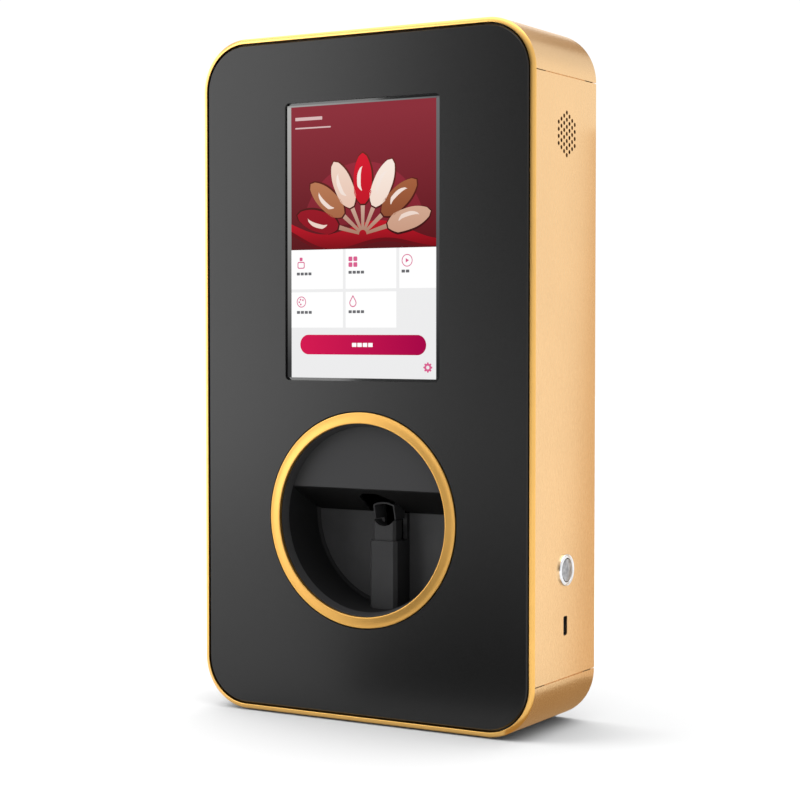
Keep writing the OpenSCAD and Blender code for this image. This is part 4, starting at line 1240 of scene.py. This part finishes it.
@dataclass
class ScreenPicture(Assembly):
    """The lit picture: a fan of nail samples over a page of tiles.

    Spans are low and high ends. A nail's span counts from the fan's hub, and the tones are the
    dark and the light colour of each nail.
    """

    width: Span = (-58.75, 58.75)
    height: Span = (240.5, 430.3)
    split: float = 330.1
    glass: float = -46.0
    layer: float = 0.03
    tile_x: tuple[Span, ...] = ((-58.75, -15.8), (-13.6, 27.4), (29.8, 58.75))
    tile_z: tuple[Span, ...] = ((302.5, 330.1), (275.6, 300.4))
    hub: Point2 = (0.5, 340.0)
    fan_step: float = 25.0
    nail_span: Span = (21.0, 56.0)
    nail_half: float = 7.4
    nail_tones: tuple[tuple[str, str], ...] = (
        ("8a1220", "b01a2c"),
        ("9a5a3c", "c98a62"),
        ("e0b6a2", "f3dccd"),
        ("b0101f", "d81a30"),
        ("ecd0c0", "fbeee4"),
        ("7c3f28", "b87048"),
        ("c89a82", "e6c2ac"),
    )
    fan_shade: Span = (340, 400)

    def _add_pieces(self) -> None:
        """Lays the picture from its ground up."""
        self._ground()
        self._tiles()
        self._icons()
        self._button()
        self._banner()
        self._fan()

    def _sheet(self, level: int) -> Span:
        """Front and back of one layer of the picture."""
        return (self.glass - self.layer * (level + 1), self.glass - self.layer * level)

    def _put(self, name: str, ink: ScreenInk, level: int, *shapes: Loops) -> None:
        """Adds one inked layer.

        Args:
            name: Name of the piece.
            ink: Its ink.
            level: Number of the layer, counted from the glass.
            *shapes: Each an outline with any holes.
        """
        draft = Draft()
        for loops in shapes:
            draft.slab(loops, self._sheet(level))
        self.bench.add(draft, name, ink, "screen_glass")

    def _ground(self) -> None:
        """Lays the border, whose grey is a painted reflection off the glass's edge, the banner's
        ground and the page's ground.
        """
        left, right = self.width
        low, high = self.height
        # The border strips glow with a painted reflection: grey that stands in for light off the
        # glass's edge, lighter towards the top on both sides and lighter to the left along the top.
        shade = (250, 430)
        side = ScreenInk("ink_border_painted_reflection", "363637", "b2b2b0", Axis.Z, shade)
        dim = ScreenInk("ink_right_painted_reflection", "242426", "6c6c6e", Axis.Z, shade)
        top = ScreenInk("ink_top_painted_reflection", "a2a2a0", "626264", Axis.X, self.width)
        sill = rounded((left - 3.3, right + 2.5), (high, high + 1.1), 0.5)
        self._put("screen_border_painted_reflection", side, 0, [rounded((left - 3.3, left), self.height, 0.3)])
        self._put(
            "screen_right_painted_reflection", dim, 0, [rounded((right, right + 2.5), self.height, 0.3)]
        )
        self._put("screen_top_painted_reflection", top, 0, [sill])
        crimson = ScreenInk("ink_crimson", "591218", "8b2f3a", Axis.Z, (330, 425))
        self._put("banner_ground", crimson, 0, [rounded(self.width, (self.split, high), 0.4)])
        page = ScreenInk("ink_page", "ececed", "f0f0f0")
        self._put("page_ground", page, 0, [rounded(self.width, (low, self.split), 0.4)])

    def _tiles(self) -> None:
        """Lays the white tiles, three over two."""
        white = ScreenInk("ink_white", "ffffff", "ffffff")
        upper, lower = self.tile_z
        cells = [(x, upper) for x in self.tile_x] + [(x, lower) for x in self.tile_x[:2]]
        self._put("page_tiles", white, 1, *[[rounded(x, z, 0.3)] for x, z in cells])

    def _icons(self) -> None:
        """Lays a pink line icon in each tile, with a dark word bar under it."""
        pink = ScreenInk("ink_pink", "d9608f", "d9608f")
        dark = ScreenInk("ink_grey", "6a6a6e", "6a6a6e")
        icons = (
            (BOTTLE, -54.2, 320.6, 13.0),
            (SWATCHES, -11.2, 321.2, 13.4),
            (PLAY, 31.6, 321.4, 6.8),
            (PALETTE, -54.2, 293.6, 13.2),
            (DROP, -11.2, 293.9, 13.4),
        )
        shapes = []
        bars = []
        for icon, x, z, length in icons:
            shapes += moved(icon, x + 3.6, z)
            count = round(length / 3.4)
            step = length / count
            bars += [
                [rounded((x + step * i, x + step * (i + 1) - 0.7), (z - 8.3, z - 6.3), 0.3)]
                for i in range(count)
            ]
        shapes += moved(GEAR, 52.3, 248.5)
        self._put("page_icons", pink, 2, *shapes)
        self._put("page_labels", dark, 2, *bars)

    def _button(self) -> None:
        """Lays the magenta button with a white word bar."""
        magenta = ScreenInk("ink_magenta", "d4124f", "a60046", Axis.X, (-50, 50))
        self._put("page_button", magenta, 1, [rounded((-51.4, 51.0), (256.8, 270.6), 6.9, 14)])
        starts = [-8.4 + i * 4.4 for i in range(4)]
        bars = [[rounded((x, x + 3.6), (262.2, 265.0), 0.3)] for x in starts]
        self._put("button_label", ScreenInk("ink_white", "ffffff", "ffffff"), 2, *bars)

    def _banner(self) -> None:
        """Lays the title's bars, and a red ribbon over a halo on the crimson ground."""
        left = self.width[0]
        light = ScreenInk("ink_title", "d9b9b9", "d9b9b9")
        title = [rounded((left + 3.5, left + 26), (420.6, 422.9), 0.4)]
        line = [rounded((left + 3.5, left + 33), (414.8, 415.8), 0.3)]
        self._put("banner_title", light, 1, title, line)
        halo = ScreenInk("ink_halo", "741c26", "9c3040", Axis.Z, (330, 410))
        self._put("banner_halo", halo, 1, [arc(self.hub, 50, 8, 172, 48)])
        shade = ScreenInk("ink_ribbon_shade", "4c0a10", "7a0f1a")
        self._ribbon("banner_ribbon_shade", shade, 2, -2.6)
        ribbon = ScreenInk("ink_ribbon", "7d0a15", "c01527", Axis.Z, (331, 350))
        self._ribbon("banner_ribbon", ribbon, 3, 0.0)

    def _ribbon(self, name: str, ink: ScreenInk, level: int, shift: float) -> None:
        """Waves one ribbon across the banner's foot.

        Args:
            name: Name of the piece.
            ink: Its ink.
            level: Number of the layer.
            shift: How far it is raised, in millimetres.
        """
        left, right = self.width
        xs = [left + (right - left) * i / 48 for i in range(49)]
        crest = [(x, 344.5 + shift + 5.5 * math.sin(x / 15.0 + 0.6) - 0.05 * x) for x in xs]
        foot = [(x, max(self.split, z - 9.0 - 4.0 * math.cos(x / 21.0))) for x, z in crest]
        self._put(name, ink, level, [crest + foot[::-1]])

    def _fan(self) -> None:
        """Lays the samples' handles, then the nails with their edge and shine."""
        stick = ScreenInk("ink_stick", "9c6a55", "dcbcab", Axis.Z, (335, 370))
        handle = [(3.0, 1.0), (26.0, 1.9), (26.0, -1.9), (3.0, -1.0)]
        self._put("banner_sticks", stick, 4, *self._arms(handle))
        nails = self._arms(self._nail(1.0, 0.0))
        for k, (low, high) in enumerate(self.nail_tones):
            ink = ScreenInk(f"ink_nail_{k}", low, high, Axis.Z, self.fan_shade)
            self._put(f"banner_nail_{k}", ink, 6, nails[k])
        shine = ScreenInk("ink_shine", "e9cfc2", "fbf1ea", Axis.Z, self.fan_shade)
        self._put("banner_shine", shine, 7, *self._arms(self._nail(0.2, 0.42)))
        shade = ScreenInk("ink_nail_shade", "3c0d10", "6d2a22", Axis.Z, self.fan_shade)
        self._put("banner_nail_edge", shade, 5, *self._arms(self._nail(1.1, -0.1)))

    def _nail(self, share: float, side: float) -> list[Point2]:
        """Draws the outline of a nail along its own axis.

        Args:
            share: Part of the nail's width that the outline takes.
            side: How far it is set off the nail's axis, as a part of the nail's half width.

        Returns:
            Distances from the hub and to the side.
        """
        root, tip = self.nail_span
        edge = []
        for i in range(17):
            t = i / 16
            width = self.nail_half * (0.8 + 0.2 * math.sin(math.pi * min(1.0, t * 1.1)))
            fade = math.sqrt(max(0.0, 1 - max(0.0, (t - 0.55) / 0.45) ** 2.2))
            start = math.sqrt(min(1.0, 0.1 + t * 5))
            ahead = root + (tip - root) * (0.5 + (t - 0.5) * (0.35 + 0.65 * share))
            edge.append((ahead, width * fade * start))
        right = [(d, w * (side + share)) for d, w in edge]
        return right + [(d, w * (side - share)) for d, w in reversed(edge[:-1])]

    def _arms(self, shape: list[Point2]) -> list[Loops]:
        """Places a shape on every arm of the fan.

        Args:
            shape: Its outline, as distances from the hub and to the side.

        Returns:
            One shape for each arm, from left to right.
        """
        x, z = self.hub
        arms = []
        for k in range(len(self.nail_tones)):
            angle = math.radians(90 + self.fan_step * (3 - k))
            ahead = (math.cos(angle), math.sin(angle))
            placed = [
                (x + ahead[0] * d - ahead[1] * w, z + ahead[1] * d + ahead[0] * w) for d, w in shape
            ]
            arms.append([placed])
        return arms


@dataclass
class FingerPort(Assembly):
    """Gold ring, dark tube, hood and nail chamber."""

    dressing: Dressing = (
        ("port_tube", TUBE_PAINTED_SHADE, 0.25),
        ("port_hood", HOOD_BLACK, 0.25),
        ("nail_chamber", CHAMBER_BLACK, 0.0),
    )
    centre: float = 142.0
    outer: float = 75.0
    inner: float = 67.25
    face: float = -49.5
    seat: float = -46.0
    ring_edge: float = 0.6
    ring_bevel: float = 1.6
    cone: float = 0.45
    dish: float = 0.15
    spigot: Span = (70.5, 73.0)
    spigot_back: float = -43.0
    lip_mouth: Point2 = (66.95, -46.35)
    lip_throat: Point2 = (65.35, -40.4)
    lip_wall: float = 0.45
    back: float = -1.0
    back_plate: float = 0.4
    back_radius: float = 63.3
    back_top: float = 143.9
    post_half: float = 11.7
    round_steps: int = 192

    def _add_pieces(self) -> None:
        """Turns the ring and the lip, and lines the back wall with plates of painted light."""
        self._ring()
        self._lip()
        self._back_plates()

    def _lip(self) -> None:
        """Turns the smooth sleeve on the mouth's flare, with a bead at its inner end."""
        mouth, throat = self.lip_mouth, self.lip_throat
        inside = throat[0] - self.lip_wall
        profile = [
            mouth,
            (mouth[0] - 0.25, mouth[1] + 0.1),
            (inside, throat[1] - 0.9),
            (inside - 0.12, throat[1] - 0.35),
            (inside + 0.1, throat[1]),
            throat,
        ]
        draft = Draft().turn(profile, Axis.Y, (0, 0, self.centre), self.round_steps)
        self.bench.add(draft, "port_lip", LIP_GREY, "port_black")

    def _back_plates(self) -> None:
        """Lays a thin plate on the back wall at either side of the post, in a lighter copy of the
        black plastic: painted light on the lit back wall.
        """
        rise = self.back_top - self.centre
        start = math.degrees(math.asin(rise / self.back_radius))
        end = -math.degrees(math.acos(self.post_half / self.back_radius))
        right = arc((0, self.centre), self.back_radius, start, end, 40)
        right += [(self.post_half, self.back_top)]
        left = [(-x, z) for x, z in right]
        depth = (self.back - self.back_plate, self.back)
        draft = Draft().slab([right], depth).slab([left], depth)
        self.bench.add(draft, "port_back_painted_light", BACK_PAINTED_LIGHT, "port_black", edge=0.15)

    def _ring(self) -> None:
        """Turns the ring with softly rounded edges."""
        edge = self.ring_edge
        low_face = self.face + self.cone
        middle = (self.outer + self.inner) / 2
        outer_round = arc((self.outer - edge, -low_face - edge), edge, 0, 90, 6)
        inner_round = arc((self.inner + edge, -self.face - edge), edge, 90, 180, 6)
        profile = [
            (self.outer, self.seat),
            *[(r, -y) for r, y in outer_round],
            (self.outer - self.ring_bevel, low_face + self.dish),
            (middle, (low_face + self.face) / 2 + self.dish),
            (self.inner + self.ring_bevel, self.face + self.dish),
            *[(r, -y) for r, y in inner_round],
            (self.inner, self.seat - edge),
            (self.spigot[0], self.seat - edge),
            (self.spigot[0], self.spigot_back),
            (self.spigot[1], self.spigot_back),
            (self.spigot[1], self.seat),
        ]
        draft = Draft().turn(profile, Axis.Y, (0, 0, self.centre), self.round_steps)
        self.bench.add(draft, "port_bezel", RING_GOLD, "gold_trim", replaces="port_ring")


@dataclass
class FingerRest(Assembly):
    """Post, guide arch, sprung cradle and its coil."""

    dressing: Dressing = (
        ("finger_post finger_cradle", PORT_BLACK, 0.25),
        ("finger_guide", PORT_BLACK, 0.15),
        ("nail_camera", MOTOR_BLACK, 0.0),
        ("light_board", WHITE_MASK, 0.0),
    )
    coil_y: float = -12.5
    coil_z: Span = (100.0, 116.0)
    coil_radius: float = 3.4
    wire_radius: float = 0.4
    turns: float = 7.5
    turn_steps: int = 20

    def _add_pieces(self) -> None:
        """Winds the spring under the cradle."""
        low, high = self.coil_z[0] + self.wire_radius, self.coil_z[1] - self.wire_radius
        steps = int(self.turns * self.turn_steps)
        path = []
        for i in range(steps + 1):
            a = 2 * math.pi * self.turns * i / steps
            z = low + (high - low) * i / steps
            across = (self.coil_radius * math.cos(a), self.coil_radius * math.sin(a))
            path.append((across[0], self.coil_y + across[1], z))
        coil = self.bench.add(
            Draft().tube(path, self.wire_radius, 8),
            "cradle_coil",
            GROUND_STEEL,
            "ground_steel",
            replaces="cradle_spring",
        )
        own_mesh(coil)


@dataclass
class PrintEngine(Assembly):
    """Stage, carriage, belt drive and ink cartridge."""

    dressing: Dressing = (
        ("engine_frame", SHEET_STEEL, 0.0),
        ("stage_rods guide_rods stage_screw idler_pin latch_pin", GROUND_STEEL, 0.0),
        ("drive_pulley idler_pulley", GROUND_STEEL, 0.0),
        ("stage_frame", CAST_GREY, 0.3),
        ("stage_motor belt_motor", MOTOR_BLACK, 0.0),
        ("drive_belt cap_pad", RUBBER, 0.0),
        ("encoder_strip", CLEAR_FILM, 0.0),
        ("ink_carriage", ENGINE_PLASTIC, 0.2),
        ("cartridge_latch", LATCH_PLASTIC, 0.2),
        ("ink_cartridge", CARTRIDGE, 0.6),
        ("cap_holder", CREAM, 0.2),
    )


@dataclass
class Electronics(Assembly):
    """Boards, their spacers and the loom between them."""

    dressing: Dressing = (
        ("main_board driver_board usb_board", CIRCUIT, 0.0),
        ("heat_sink", CAST_GREY, 0.0),
        ("board_standoffs", BRASS, 0.0),
        ("wire_loom", MOTOR_BLACK, 0.0),
    )


@dataclass
class SideFittings(Assembly):
    """Speaker, power button and USB socket in the right side."""

    dressing: Dressing = (
        ("speaker", MOTOR_BLACK, 0.0),
        ("power_button", BUTTON_STEEL, 0.3),
        ("button_nut", GROUND_STEEL, 0.0),
        ("usb_socket", CHIP, 0.0),
    )
    face_x: float = 134.0
    line_y: float = -0.4
    button_z: float = 111.0
    bezel_face: float = 1.6
    bezel_radius: float = 11.0
    bore: float = 8.1
    bore_floor: float = -8.0
    thread_radius: float = 9.4
    body_length: float = 24.0
    usb_z: float = 73.0
    contact_pitch: float = 2.4
    contact_half: float = 0.5
    contact_x: Span = (122.0, 129.5)
    contact_rise: float = 0.15
    tongue_y: float = -0.2

    def _add_pieces(self) -> None:
        """Turns the button's bezel and lays the socket's contacts."""
        self._bezel()
        self._contacts()
    def _bezel(self) -> None:
        """Turns the switch's body, with a dished bezel that rolls over at both edges."""
        bore, rim, thread = self.bore, self.bezel_radius, self.thread_radius
        face = self.bezel_face
        profile = [
            (bore, self.bore_floor),
            (bore, face - 0.7),
            *arc((bore + 0.5, face - 0.5), 0.5, 180, 90, 4),
            (bore + 1.0, face - 0.15),
            (rim - 1.3, face - 0.35),
            *arc((rim - 0.9, face - 0.9), 0.9, 75, 0, 5),
            (rim, 0.0),
            (thread, 0.0),
            (thread, -self.body_length),
            (0.0, -self.body_length),
            (0.0, self.bore_floor),
        ]
        draft = Draft().turn(profile, Axis.X, (self.face_x, self.line_y, self.button_z))
        self.bench.add(draft, "button_bezel", CHROME, "chrome", replaces="button_housing")

    def _contacts(self) -> None:
        """Lays the socket's four contacts on its tongue."""
        draft = Draft()
        depth = (self.tongue_y - self.contact_rise, self.tongue_y)
        for k in range(4):
            z = self.usb_z + (k - 1.5) * self.contact_pitch
            draft.box(self.contact_x, depth, (z - self.contact_half, z + self.contact_half))
        self.bench.add(draft, "usb_contacts", BRASS, "brass")


@dataclass
class Rear(Assembly):
    """Rear cover, hinged hatch and power inlet."""

    dressing: Dressing = (
        ("rear_cover rear_hatch", POWDER_BLACK, 0.0),
        ("hatch_pin hatch_magnets", GROUND_STEEL, 0.0),
        ("dc_inlet", MOTOR_BLACK, 0.2),
    )


def main() -> None:
    """Builds the studio and every sub-assembly in order."""
    logging.basicConfig(level=logging.INFO, format="%(name)s: %(message)s")
    Studio().build()
    bench = Bench()
    front = (Housing, FrontPanel, ScreenPicture, FingerPort, FingerRest)
    inside = (PrintEngine, Electronics, SideFittings, Rear)
    for part in front + inside:
        part(bench).build()


if __name__ == "__main__":
    main()
